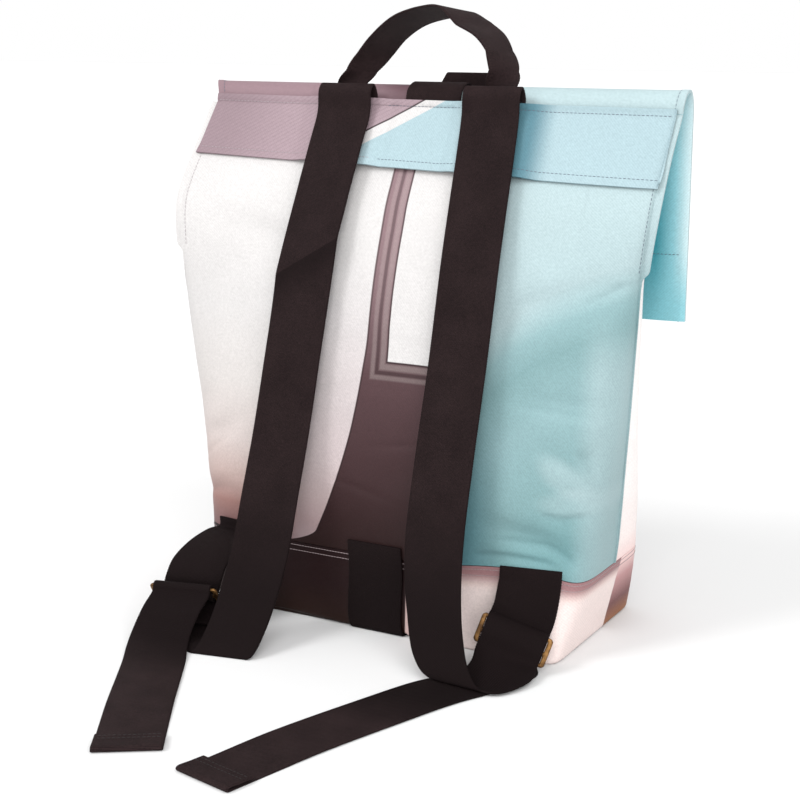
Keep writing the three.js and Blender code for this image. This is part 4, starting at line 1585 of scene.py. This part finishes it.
@dataclass(frozen=True)
class SliderFrame:
    """A slider's own frame: its middle bar, the way along it, and the side it faces."""

    centre: tuple[float, float, float]
    down: tuple[float, float, float]
    face: tuple[float, float, float]
    turn: float = 0.0
    tip: float = 0.0

    def thread(self, rows: Sequence[tuple[float, float]]) -> list[Spot]:
        """A webbing's way through the slider.

        Args:
            rows: Distances along the frame from the middle bar, and off its plane.

        Returns:
            The webbing's places.
        """
        turn, tip = math.radians(self.turn), math.radians(self.tip)
        bar = np.array([math.cos(tip) * math.cos(turn), math.cos(tip) * math.sin(turn), math.sin(tip)])
        run = np.array(self.down, dtype=float)
        run = run - bar * run.dot(bar)
        run = run / np.linalg.norm(run)
        normal = np.cross(bar, run)
        outward = normal * np.sign(normal.dot(np.array(self.face)))
        origin = np.array(self.centre)
        return [spot(origin + run * a + outward * o, self.turn, self.tip) for a, o in rows]


# Sub-assemblies


@dataclass(frozen=True)
class FlapSizes:
    """Sizes of the flap that hangs over the front."""

    left: float = 215
    right: float = 219
    hem_z: float = 259
    edge_y: float = 25
    stand: float = 3
    fullness: float = 2.4
    corner_lift: float = 4
    corner_power: float = 4
    hem_stitch_z: float = 312
    side_hem: float = 7.0
    columns: int = 131
    fold_rows: int = 33
    hang_rows: int = 56


FLAP = FlapSizes()


@dataclass
class SackBody:
    """The boxed base and the back and front panels sewn on it."""

    form: SackForm
    stitches: StitchWork
    row_step: float = 2.2
    back_columns: int = 220
    front_columns: int = 110
    base_columns: int = 300
    groove_left: float = -25
    groove_right: float = 29
    base_stitch_z: float = 57.0
    edge_radius: float = 3.2
    arch: float = 2.8
    arch_x: float = -95
    arch_reach: float = 42
    white_column: float = 4.6
    grey_column: float = 5.6

    def build(self) -> None:
        """Makes the three pieces."""
        self.back_panel()
        self.front_panel()
        self.base()

    def back_panel(self) -> None:
        """Makes the back with its hemmed upper edges, dents and creases."""
        low, high = SEAM_Z + SEAM_GAP, PANEL_TOP_Z
        levels = np.linspace(low, high, int((high - low) / self.row_step) + 1)
        rows = []
        for z in levels:
            row = self.form.row(z, Face.BACK, self.back_columns)
            widen = float(smoothstep(z, FLANGE["from_z"], FLANGE["to_z"]))
            flange = FLANGE["low"] + (FLANGE["high"] - FLANGE["low"]) * widen
            steps = flange * np.array([0.25, 0.6, 1.0])
            left = [row[0] - np.array([s, 0, 0]) for s in steps[::-1]]
            right = [row[-1] + np.array([s, 0, 0]) for s in steps]
            rows.append(np.vstack([left, row, right]))
        points = np.array(rows)
        grid = ClothGrid(points)
        x, z = points[..., 0], points[..., 2]
        away = np.minimum(smoothstep(z, low, low + 26), 1 - smoothstep(z, high - 70, high - 40))
        tame = 1 - smoothstep(np.abs(x), 176, 196)
        level = np.broadcast_to(levels[:, None], z.shape)
        above = smoothstep(level, low, low + 8)
        inset = np.minimum(self.form.column("left", level) + x, self.form.column("right", level) - x)
        sewn = smoothstep(inset, 1.5, 13)
        soft = self.form.folds(CREASES, x, z) * np.maximum(sewn, 0.25)
        dip = (soft + self.form.pleats(x, z) * sewn) * above
        swell = np.minimum(self.form.crumple(x, z), 0.3) * away * tame
        grid.points = grid.offset(swell - dip)
        piece = grid.build("back_panel_cloth", BannerFinish(Print.BACK).material())
        settle(piece, "banner_back", "back_panel")
        grid.flat()
        grid.area()
        for thread, column in (("white", self.white_column), ("grey", points.shape[1] - self.grey_column)):
            line = grid.column_line(column)
            self.stitches.add(thread, line[line[:, 2] > FLANGE["to_z"]])

    def front_panel(self) -> None:
        """Makes the plain front."""
        low, high = SEAM_Z + SEAM_GAP, MOUTH_Z
        levels = np.linspace(low, high, int((high - low) / (1.6 * self.row_step)) + 1)
        points = np.array([self.form.row(z, Face.FRONT, self.front_columns)[::-1] for z in levels])
        grid = ClothGrid(points)
        x, z = points[..., 0], points[..., 2]
        away = smoothstep(z, low, low + 30) * (1 - smoothstep(z, 225, 255))
        away = away * smoothstep(np.abs(x - 6), 40, 60)
        tame = 1 - smoothstep(np.abs(x), 150, 175)
        ripple = np.minimum(self.form.crumple(x + 300, z), 0.2) * 1.6
        grid.points = grid.offset(ripple * away * tame)
        piece = grid.build("front_panel_cloth", BannerFinish(Print.FRONT).material())
        settle(piece, "banner_front", "front_panel")
        grid.flat()
        grid.area()

    def loop(self, z: float) -> Array:
        """The base's outline at one height, from the left seam round the back.

        Args:
            z: Height.

        Returns:
            Points of the outline.
        """
        half = self.base_columns // 2 + 1
        back = self.form.row(z, Face.BACK, half)
        front = self.form.row(z, Face.FRONT, half)[::-1]
        return np.vstack([back[:-1], front[:-1]])

    def groove(self, x: Array) -> Array:
        """Rise of the base's floor over the closing strap."""
        ramp = smoothstep(x, self.groove_left - 1.4, self.groove_left - 0.2)
        return LAYER * ramp * (1 - smoothstep(x, self.groove_right + 0.2, self.groove_right + 1.4))

    def base(self) -> None:
        """Makes the boxed base as an open tray."""
        levels = np.concatenate([[0.0, 0.6, 1.6, 3.2, 5.5], np.linspace(8, SEAM_Z, 26)])
        outline = np.array([self.loop(z) for z in levels])
        middle = np.array([0.0, -2.5, 0.0])
        inset = self.edge_radius * (1 - np.sqrt(1 - np.clip(1 - levels / self.edge_radius, 0, 1) ** 2))
        flat = outline[..., :2] - middle[:2]
        far = np.linalg.norm(flat, axis=2, keepdims=True)
        outline[..., :2] -= flat / far * inset[:, None, None]
        rise = self.groove(outline[..., 0]) * (1 - np.clip(levels / 12, 0, 1))[:, None]
        past = (outline[..., 0] - self.arch_x) / self.arch_reach
        hollow = self.arch * np.exp(-(past**2)) * (outline[..., 1] < 0)
        outline[..., 2] += rise + hollow * (1 - np.clip(levels / 16, 0, 1))[:, None]
        shares = np.array([0.02, 0.3, 0.6, 0.8, 0.9, 0.96, 0.99])
        floor = middle + (outline[0] - middle) * shares[:, None, None]
        floor[..., 2] = self.groove(floor[..., 0])
        skin = np.concatenate([floor, outline])
        skin = np.concatenate([skin, skin[:, :1]], axis=1)
        grid = ClothGrid(skin)
        normals = grid.normals()
        normals[:, 0] = normals[:, -1] = (normals[:, 0] + normals[:, -1]) / 2
        x, z = skin[..., 0], skin[..., 2]
        wall = smoothstep(z, 10, 24) * (1 - smoothstep(z, 40, 54)) * smoothstep(np.abs(x - 2), 34, 60)
        sag = np.maximum(self.form.crumple(x * 1.3, z + 500), -0.2) * wall * 1.5
        outer = skin
        inner = skin - normals * (CLOTH + np.maximum(sag, 0))[..., None]
        outer = outer - normals * sag[..., None]
        outer[..., 2] = np.maximum(outer[..., 2], 0)
        piece = self.tray("base_cloth", outer, inner, grid)
        settle(piece, "banner_base", "base")
        grid.area()
        lines = ClothGrid(outer)
        for target in (self.base_stitch_z, SEAM_Z - 1.6):
            row = int(np.argmin(np.abs(outer[:, 40, 2] - target)))
            self.stitches.add("pale", lines.row_line(float(row)))

    def tray(self, name: str, outer: Array, inner: Array, grid: ClothGrid) -> bpy.types.Object:
        """Joins the tray's two skins at its rim and closes its floor.

        Args:
            name: The piece's name.
            outer: Points of the outer skin, floor first.
            inner: Points of the inner skin.
            grid: The grid that the cloth coordinates come from.

        Returns:
            The piece.
        """
        rows, columns = outer.shape[0], outer.shape[1] - 1
        count = rows * columns
        faces: list[list[int]] = []
        for j in range(rows - 1):
            for i in range(columns):
                k = (i + 1) % columns
                low, high = j * columns, (j + 1) * columns
                faces.append([low + i, low + k, high + k, high + i])
                faces.append([count + low + i, count + high + i, count + high + k, count + low + k])
        top = (rows - 1) * columns
        for i in range(columns):
            k = (i + 1) % columns
            faces.append([top + i, top + k, count + top + k, count + top + i])
        verts = np.concatenate([outer[:, :-1].reshape(-1, 3), inner[:, :-1].reshape(-1, 3)]) * MM
        across, along = grid.measure()
        spots = np.stack([across, along], axis=-1)[:, :-1].reshape(-1, 2) * MM
        finish = BannerFinish(Print.BASE).material()
        piece = solid(name, verts, np.array(faces), np.concatenate([spots, spots]), [finish])
        form = bmesh.new()
        form.from_mesh(piece.data)
        bmesh.ops.holes_fill(form, edges=[e for e in form.edges if e.is_boundary], sides=0)
        bmesh.ops.recalc_face_normals(form, faces=form.faces)
        form.to_mesh(piece.data)
        form.free()
        return piece


@dataclass
class LidAndBand:
    """The flap folded over the top, and the band sewn over the strap ends."""

    form: SackForm
    stitches: StitchWork
    top_left: tuple[float, float] = (-206, 431)
    top_right: tuple[float, float] = (212, 428)
    bottom_left: tuple[float, float] = (-211, 381)
    bottom_right: tuple[float, float] = (206, 369)
    ramp: float = 22
    foot_inset: float = 3
    thread_change: float = -34
    margin: float = 2
    edge_stitch: float = 6.0
    columns: int = 260
    rows: int = 27

    def build(self) -> None:
        """Makes the flap and the band."""
        self.flap()
        self.band()

    def flap(self) -> None:
        """Makes the flap, with a soft roll at the top and hemmed sides."""
        shares = np.sin(np.linspace(-math.pi / 2, math.pi / 2, FLAP.columns))
        rows = []
        for turn in np.linspace(0, 1, FLAP.fold_rows):
            xs = self.across(shares, min(2 * turn, 1.0))
            arcs = np.array([self.form.fold_arc(x) for x in xs])
            y = arcs[:, 0] - arcs[:, 1] * math.cos(math.pi * turn)
            rows.append(np.stack([xs, y, arcs[:, 2] + CREST_RISE * math.sin(math.pi * turn)], axis=1))
        xs = self.across(shares, 1.0)
        for z in np.linspace(PANEL_TOP_Z, FLAP.hem_z, FLAP.hang_rows)[1:]:
            down = (PANEL_TOP_Z - z) / (PANEL_TOP_Z - FLAP.hem_z)
            lift = FLAP.corner_lift * np.abs(shares) ** FLAP.corner_power * down
            rows.append(np.stack([xs, [self.form.hang(x, z) for x in xs], z + lift], axis=1))
        points = np.array(rows)
        grid = ClothGrid(points)
        edge = np.minimum(points[..., 0] + FLAP.left, FLAP.right - points[..., 0])
        grid.relief = 0.5 * (1 - smoothstep(edge, FLAP.side_hem - 1.5, FLAP.side_hem))
        outside = BannerFinish(Print.FLAP).material()
        lining = BannerFinish(Print.LINING).material()
        piece = grid.build("flap_cloth", outside, lining)
        settle(piece, "banner_flap", "flap")
        grid.flat()
        grid.area()
        first = FLAP.fold_rows + 1
        heights = points[first:, FLAP.columns // 2, 2]
        row = int(np.argmin(np.abs(heights - FLAP.hem_stitch_z))) + first
        line = grid.row_line(float(row))
        self.stitches.add("grey", line, 8)
        self.stitches.add("grey", line - grid.normals()[row] * (CLOTH + 2 * STITCH_LIFT), 8)
        for inset in (np.abs(xs + FLAP.left - FLAP.side_hem), np.abs(FLAP.right - xs - FLAP.side_hem)):
            self.stitches.add("grey", grid.column_line(float(np.argmin(inset))))

    def across(self, shares: Array, front: float) -> Array:
        """Places across the flap, which widens from the back panel's edge over the fold.

        Args:
            shares: Shares of the half width.
            front: 0 at the back panel's edge and 1 on the hanging part.

        Returns:
            The places.
        """
        left = float(self.form.column("left", PANEL_TOP_Z)) - self.foot_inset
        right = float(self.form.column("right", PANEL_TOP_Z)) + FLANGE["high"]
        half = np.where(shares < 0, left + (FLAP.left - left) * front, right + (FLAP.right - right) * front)
        return shares * half

    def lift(self, x: float) -> float:
        """Lift of the band over the webbing sewn in behind it.

        Args:
            x: Place across.

        Returns:
            The lift.
        """
        best = 0.0
        for name, layers in (("left", 2), ("closing", 1), ("right", 2)):
            past = abs(x - STRAP_X[name]) - WEB_WIDTH / 2 - self.margin
            best = max(best, layers * LAYER * (1 - float(smoothstep(past, 0, self.ramp))))
        return best

    def band(self) -> None:
        """Makes the band with its turned and stitched edges."""
        columns, rows = self.columns, self.rows
        points = np.zeros((rows, columns, 3))
        depth = np.zeros((rows, columns))
        ends = (self.bottom_left, self.bottom_right, self.top_left, self.top_right)
        corners = [np.array(end) for end in ends]
        for i, t in enumerate(np.linspace(0, 1, columns)):
            bottom = corners[0] + (corners[1] - corners[0]) * t
            top = corners[2] + (corners[3] - corners[2]) * t
            for j, s in enumerate(np.linspace(0, 1, rows)):
                x, z = bottom + (top - bottom) * s
                points[j, i] = self.form.off_back(x, z, 3 * GAP + self.lift(x) + CLOTH)
                depth[j, i] = min(s, 1 - s) * (top[1] - bottom[1])
        grid = ClothGrid(points)
        hem = 0.45 * (1 - smoothstep(depth, self.edge_stitch + 0.5, self.edge_stitch + 2))
        groove = 0.35 * np.exp(-(((depth - self.edge_stitch) / 1.3) ** 2))
        grid.relief = hem - groove
        piece = grid.build("top_band_cloth", BannerFinish(Print.BAND).material())
        settle(piece, "banner_band", "top_band")
        grid.flat()
        grid.area()
        height = float(np.linalg.norm(np.diff(points[:, columns // 2], axis=0), axis=1).sum())
        row = self.edge_stitch / height * (rows - 1)
        for at in (row, rows - 1 - row):
            line = grid.row_line(at, 0.1)
            self.stitches.add("white", line[line[:, 0] < self.thread_change], 4)
            self.stitches.add("grey", line[line[:, 0] > self.thread_change], 4)


@dataclass
class StrapMaker:
    """Makes webbing pieces of one finish."""

    form: SackForm
    stitches: StitchWork
    material: bpy.types.Material
    merge: float = 0.00002
    bevel: float = 0.0008
    flat_angle: float = 2
    sharp_angle: float = 30

    def strap(
        self, node: str, route: list[Spot], held: str, rests_on: Sequence[str], bend: Bend | None = None
    ) -> None:
        """Makes one strap that stands for its solid.

        Args:
            node: The solid's name.
            route: The webbing's places.
            held: Not used.
            rests_on: Not used.
            bend: A bend across it, if it has one.
        """
        web = Webbing(route, bend)
        grid = web.grid()
        piece = grid.build(f"{node}_webbing", self.material)
        settle(piece, "webbing", node)
        area = min(grid.area(), WEB_WIDTH * MM * web.length())
        web.length()

    def slider(self, node: str, material: bpy.types.Material) -> None:
        """Rounds a slider's edges.

        Args:
            node: The solid's name.
            material: The metal.
        """
        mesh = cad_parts[node].data.copy()
        mesh.name = f"{node}_metal"
        form = bmesh.new()
        form.from_mesh(mesh)
        bmesh.ops.remove_doubles(form, verts=form.verts, dist=self.merge)
        flat, sharp_from = math.radians(self.flat_angle), math.radians(self.sharp_angle)
        bmesh.ops.dissolve_limit(form, angle_limit=flat, verts=form.verts, edges=form.edges)
        sharp = [e for e in form.edges if e.calc_face_angle(0) > sharp_from]
        bmesh.ops.bevel(form, geom=sharp, offset=self.bevel, segments=3, profile=0.5, affect="EDGES")
        form.to_mesh(mesh)
        form.free()
        mesh.materials.clear()
        mesh.materials.append(material)
        mesh.polygons.foreach_set("use_smooth", np.ones(len(mesh.polygons), dtype=bool))
        settle(link(f"{node}_metal", mesh), "slider_metal", node)


SLIDER_RIGHT = SliderFrame((133, -102, 22.5), (0, -0.3, -0.95), (0, -1, 0), 16, -19)
SLIDER_LEFT = SliderFrame((-142, -153, 30), (0, -0.6, 0.8), (0, -1, 0), 14, 0)
SLIDER_CLOSING = SliderFrame((10, 58, 216), (0, 0.2, -1), (0, 1, 0))

RIGHT_HANG = places(
    (74, -64, 312), (73, -83, 232), (69, -96, 160, 2), (67, -107, 102, 3), (71, -118, 69, 0, -2),
    (80, -132, 40, -4, -4), (95, -150, 15, -4, -3), (109, -158, 5, -5, -1), (121, -156, 3, -2),
    (131, -143, 4.5, 5, -3), (136, -127, 9, 12, -9),
)
LEFT_HANG = places(
    (-72, -66, 305, 3), (-76, -83, 238, 5), (-83, -96, 161, 8), (-85, -110, 114, 10),
    (-84, -128, 70, 12), (-82, -147, 42, 12), (-79, -171, 18, 10), (-79, -188, 4.5, 10),
    (-82, -192, 1, 11), (-97, -183, 2.6, 13),
)
RIGHT_TAIL = places(
    (132, -110, 4.5, 10, -8), (128, -122, 1, 2), (119, -144, 0.9, -9), (103, -172, 0.9, -18),
    (82, -226, 0.9, -20), (57, -298, 0.9, -18), (35, -377, 0.9, -12),
)
LEFT_TAIL = places(
    (-140, -176, 24, 14), (-140, -190, 9, 16), (-132, -207, 3.2, 22), (-121, -225, 1, 26),
    (-104, -254, 0.9, 29), (-81, -294, 0.9, 31), (-38, -365, 0.9, 33),
)
LEFT_RISE = places(
    (-137, -92, 66), (-140, -114, 61, 6), (-143, -131, 51, 10), (-143, -140, 40, 13),
)
RIGHT_SEWN = (
    (11, 10), (-2, 9), (-9, 6.6), (-13.4, 3), (-15.2, 0), (-14.2, -2.5),
    (-12, -3.1), (-9.8, -2.5), (-8.8, 0), (-7.6, 3.6), (-1, 6.4), (9, 7.5),
)
LEFT_SEWN = (
    (-11.2, 24), (-13.8, 10), (-15.2, 2), (-14.4, -2.3), (-12, -3.1),
    (-9.7, -2.4), (-8.9, 1), (-10.2, 9), (-7.8, 23),
)
RIGHT_THREADED = (
    (-24, -6.5), (-14, -6.2), (-6.5, -3.4), (-4.4, 0), (-2.6, 2.6),
    (0, 3.4), (2.6, 2.6), (4.5, 0), (6.2, -2.8), (12, -5.4),
)
LEFT_THREADED = (
    (-7, -8), (-4.6, 0), (-2.6, 2.6), (0, 3.4), (2.6, 2.6), (4.6, 0),
    (6.2, -2.6), (9, -3.4), (12, -1.6), (12.4, 1.6), (9.6, 6),
)
CLOSING_SEWN = (
    (-30, 1.2), (-18, 1.6), (-14, 2.7), (-11.6, 3), (-9.6, 2.3), (-8.9, 0),
    (-9.6, -2.3), (-11.6, -3), (-14, -2.7), (-18, -1.6), (-30, -1),
)
CLOSING_THREADED = (
    (26, 2.8), (14, 3.4), (9, 3.2), (4.6, 0), (2.6, -2.6), (0, -3.4),
    (-2.6, -2.6), (-4.5, 0), (-8, 4), (-14, 5.4), (-28, 4.6),
)
HANDLE_ARCH = places(
    (-65, 9, 452, 52, -4, 28), (-58, 18, 465, 75, -3, 42), (-45, 20, 480, 85, -5),
    (-26, 20, 493, 85, -8), (-4, 20, 499.5, 82, -9), (16, 20, 502, 84, -6), (33, 20, 491, 82, 1),
    (48, 20, 481.5, 86, -1), (57.5, 18, 469.5, 85, -2, 42), (66, 9, 454, 57, -5, 28),
)
UNDER_AND_UP = places(
    (1, -84.4, 2.2), (1, -82.4, 0.9), (2, -40, 0.9), (2, 40, 0.9), (3, 77.4, 0.9), (3, 79.4, 2.2),
    (3, 79.6, 10), (4, 79.6, 50), (5, 78.4, 80), (6, 73.4, 120), (8, 66.8, 165),
)


@dataclass
class ShoulderHarness:
    """The two shoulder straps, the straps from the base and the sliders that join them."""

    maker: StrapMaker
    metal: bpy.types.Material
    free_left: float = -70
    free_right: float = 71
    left_bend: Bend = Bend(291, 322, 4.5, 40, 25)

    def top(self, x: float, free_x: float) -> list[Spot]:
        """A strap from behind the band, over its rim and down in front of it.

        Args:
            x: Where it is sewn in.
            free_x: Where it leaves the back.

        Returns:
            The strap's places.
        """
        form = self.maker.form
        tucked = GAP + LAYER + WEB_THICK / 2
        outside = 4 * GAP + 2 * LAYER + CLOTH + WEB_THICK
        rim = form.off_back(x, 429, tucked)
        curl = ((0.4, 6.0), (5.0, 12.5), (10.0, 8.0))
        return [
            *[spot(form.off_back(x, z, tucked)) for z in (398, 414)],
            spot(rim),
            *[spot(rim + np.array([0, -out, up])) for out, up in curl],
            spot(form.off_back(x, 415, outside + 3)),
            spot(form.off_back((x + free_x) / 2, 385, outside + 2.5)),
            spot(form.off_back(free_x, 350, outside + 1)),
        ]

    def root(self, x: float, zs: Sequence[float], turn: float) -> list[Spot]:
        """The sewn end of a strap that lies on the base seam."""
        stand = 3 * GAP + WEB_THICK / 2
        return [spot(self.maker.form.off_back(x, z, stand), turn) for z in zs]

    def build(self) -> None:
        """Makes the four straps and the two sliders."""
        up = (0, 0, 1)
        right = self.top(STRAP_X["right"], self.free_right) + RIGHT_HANG + SLIDER_RIGHT.thread(RIGHT_SEWN)
        left = self.top(STRAP_X["left"], self.free_left) + LEFT_HANG + SLIDER_LEFT.thread(LEFT_SEWN)
        self.maker.strap("shoulder_strap_right", right, "hung", ["top_band"])
        self.maker.strap("shoulder_strap_left", left, "hung", ["top_band"], self.left_bend)
        right_low = self.root(137, (76, 65), 11) + SLIDER_RIGHT.thread(RIGHT_THREADED) + RIGHT_TAIL
        left_low = self.root(-135, (74, 66), -7) + LEFT_RISE + SLIDER_LEFT.thread(LEFT_THREADED) + LEFT_TAIL
        self.maker.strap("anchor_strap_right", turned_end(right_low, up), "laid", ["base"])
        self.maker.strap("anchor_strap_left", turned_end(left_low, up), "laid", ["base"])
        for route in (right_low, left_low):
            for line in hem_rows(route, up, (14.0, 18.5)):
                self.maker.stitches.add("black", line)
        self.maker.slider("slider_right", self.metal)
        self.maker.slider("slider_left", self.metal)


@dataclass
class CarryHandle:
    """The arched handle, its ends folded together where they are sewn in."""

    maker: StrapMaker
    end_width: float = 26
    left: float = STRAP_X["left"] - 4
    right: float = STRAP_X["right"]

    def root(self, x: float) -> list[Spot]:
        """One sewn end behind the band.

        Args:
            x: Place across.

        Returns:
            The end's places.
        """
        half = WEB_THICK / 2
        rows = ((400, GAP), (416, GAP), (430, GAP), (439, 6 * GAP))
        off_back = self.maker.form.off_back
        return [spot(off_back(x, z, stand + half), 0, 0, self.end_width) for z, stand in rows]

    def build(self) -> None:
        """Makes the handle."""
        route = self.root(self.left) + HANDLE_ARCH + self.root(self.right)[::-1]
        self.maker.strap("handle", route, "hung", ["top_band"])


@dataclass
class Closure:
    """The closing straps: one over the flap, one under the base and up the front, and their slider."""

    maker: StrapMaker
    metal: bpy.types.Material
    end: tuple[float, float] = (27, 450)
    lean: float = 2

    def build(self) -> None:
        """Makes both straps and the slider."""
        form = self.maker.form
        stand = GAP + WEB_THICK / 2
        x = STRAP_X["closing"]
        middle, reach, foot = form.fold_arc(x)
        over = []
        for share in (0.25, 0.5, 0.75):
            angle = math.pi * (1 - share)
            y = middle + (reach + 2 * stand) * math.cos(angle)
            over.append(Spot(x, y, foot + (CREST_RISE + 1.5 * stand) * math.sin(angle)))

        def on_flap(z: float, layer: float) -> Spot:
            """A place on the flap's outer face."""
            return Spot(x, form.hang(x, z) + stand + layer, z)

        upper = [spot(form.off_back(x, z, stand)) for z in (400, 416, 429)] + over
        upper += [on_flap(z, GAP) for z in (420, 380, 340, 300, 266)] + SLIDER_CLOSING.thread(CLOSING_SEWN)
        second = LAYER + 5 * GAP
        lower = [spot(form.off_back(-3, 75, stand + GAP))]
        lower += [spot(form.off_back(-1, z, stand + GAP)) for z in (52, 30, 10)]
        lower += UNDER_AND_UP + SLIDER_CLOSING.thread(CLOSING_THREADED)
        lower += [on_flap(z, second) for z in (290, 330, 370, 410)]
        end_y = form.hang(self.end[0], PANEL_TOP_Z) + stand + second + self.lean
        lower.append(Spot(self.end[0], end_y, self.end[1]))
        self.maker.strap("closing_strap_top", upper, "hung", ["flap"])
        self.maker.strap("closing_strap_base", turned_end(lower, (0, 1, 0)), "stretched", ["base"])
        self.maker.slider("slider_closing", self.metal)


# Floor, light and camera


@dataclass
class Studio:
    """A pale floor, soft light and the camera at the photograph's angle."""

    eye: tuple[float, float, float] = (0.6347, -1.1871, 0.4939)
    yaw: float = 29.01
    pitch: float = 13.13
    lens: float = 73.35
    sensor: float = 36.0
    floor_half: float = 14.0
    floor_drop: float = 0.0002
    surround: float = 1.0
    key: float = 1.5
    key_spread: float = 22.0
    key_from: tuple[float, float, float] = (-0.85, -1.05, 1.1)
    fill: float = 2.4
    fill_spread: float = 60.0
    fill_from: tuple[float, float, float] = (0.8, -0.95, 0.7)

    def build(self) -> None:
        """Makes the floor, the lights and the camera."""
        self.floor()
        self.lights()
        self.camera()

    def floor(self) -> None:
        """Makes the pale floor just under the sack."""
        mesh = bpy.data.meshes.new("floor")
        h = self.floor_half
        mesh.from_pydata([(-h, -h, 0), (h, -h, 0), (h, h, 0), (-h, h, 0)], [], [(0, 1, 2, 3)])
        tree = ShaderTree("floor_pale")
        pale, dull = paint(216, 216, 216), paint(210, 210, 211)
        tree.dress(base_color=tree.blend(tree.grain(3, 2) * 0.2, pale, dull))
        tree.shader.inputs["Roughness"].default_value = 0.7
        tree.shader.inputs["Specular IOR Level"].default_value = 0.1
        mesh.materials.append(tree.material)
        floor = link("floor", mesh)
        floor.location = (0, 0, -self.floor_drop)

    def lights(self) -> None:
        """Makes a white surround, a soft light from the left and a broad one from the right."""
        world = bpy.data.worlds.new("surround")
        world.use_nodes = True
        back = world.node_tree.nodes["Background"]
        back.inputs["Color"].default_value = (1, 1, 1, 1)
        back.inputs["Strength"].default_value = self.surround
        bpy.context.scene.world = world
        bpy.context.scene.view_settings.view_transform = "Standard"
        self.lamp("key", self.key, self.key_spread, self.key_from)
        self.lamp("fill", self.fill, self.fill_spread, self.fill_from)

    def lamp(self, name: str, energy: float, spread: float, place: tuple[float, float, float]) -> None:
        """Makes one broad, even light.

        Args:
            name: The light's name.
            energy: Its strength.
            spread: How broad it looks, in degrees.
            place: Where it stands, seen from the sack.
        """
        light = bpy.data.lights.new(name, "SUN")
        light.energy = energy
        light.angle = math.radians(spread)
        stand = link(name, light)
        stand.location = place
        stand.rotation_euler = (-Vector(place)).to_track_quat("-Z", "Y").to_euler()

    def camera(self) -> None:
        """Makes the camera."""
        lens = bpy.data.cameras.new("camera")
        lens.lens = self.lens
        lens.sensor_width = self.sensor
        lens.sensor_fit = "HORIZONTAL"
        lens.clip_start = 0.01
        lens.clip_end = 100
        camera = link("camera", lens)
        camera.location = self.eye
        camera.rotation_euler = (math.radians(90 - self.pitch), 0, math.radians(self.yaw))
        bpy.context.scene.camera = camera


def main() -> None:
    """Builds the rucksack's pieces in order, then the studio."""
    logging.basicConfig(level=logging.INFO, format="%(name)s %(message)s")
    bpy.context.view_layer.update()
    Studio().build()
    form = SackForm()
    stitches = StitchWork()
    metal = MetalFinish().material()
    maker = StrapMaker(form, stitches, WebbingFinish().material())
    SackBody(form, stitches).build()
    LidAndBand(form, stitches).build()
    ShoulderHarness(maker, metal).build()
    CarryHandle(maker).build()
    Closure(maker, metal).build()
    for thread, slot in (
        (ThreadFinish("grey", ink(128, 138, 156)), "banner_band"),
        (ThreadFinish("white", ink(216, 204, 208)), "banner_band"),
        (ThreadFinish("pale", ink(212, 192, 194), 2.7, 2.8, 0.3), "banner_base"),
        (ThreadFinish("black", ink(22, 15, 16)), "webbing"),
    ):
        stitches.lay(thread, slot)


if __name__ == "__main__":
    main()
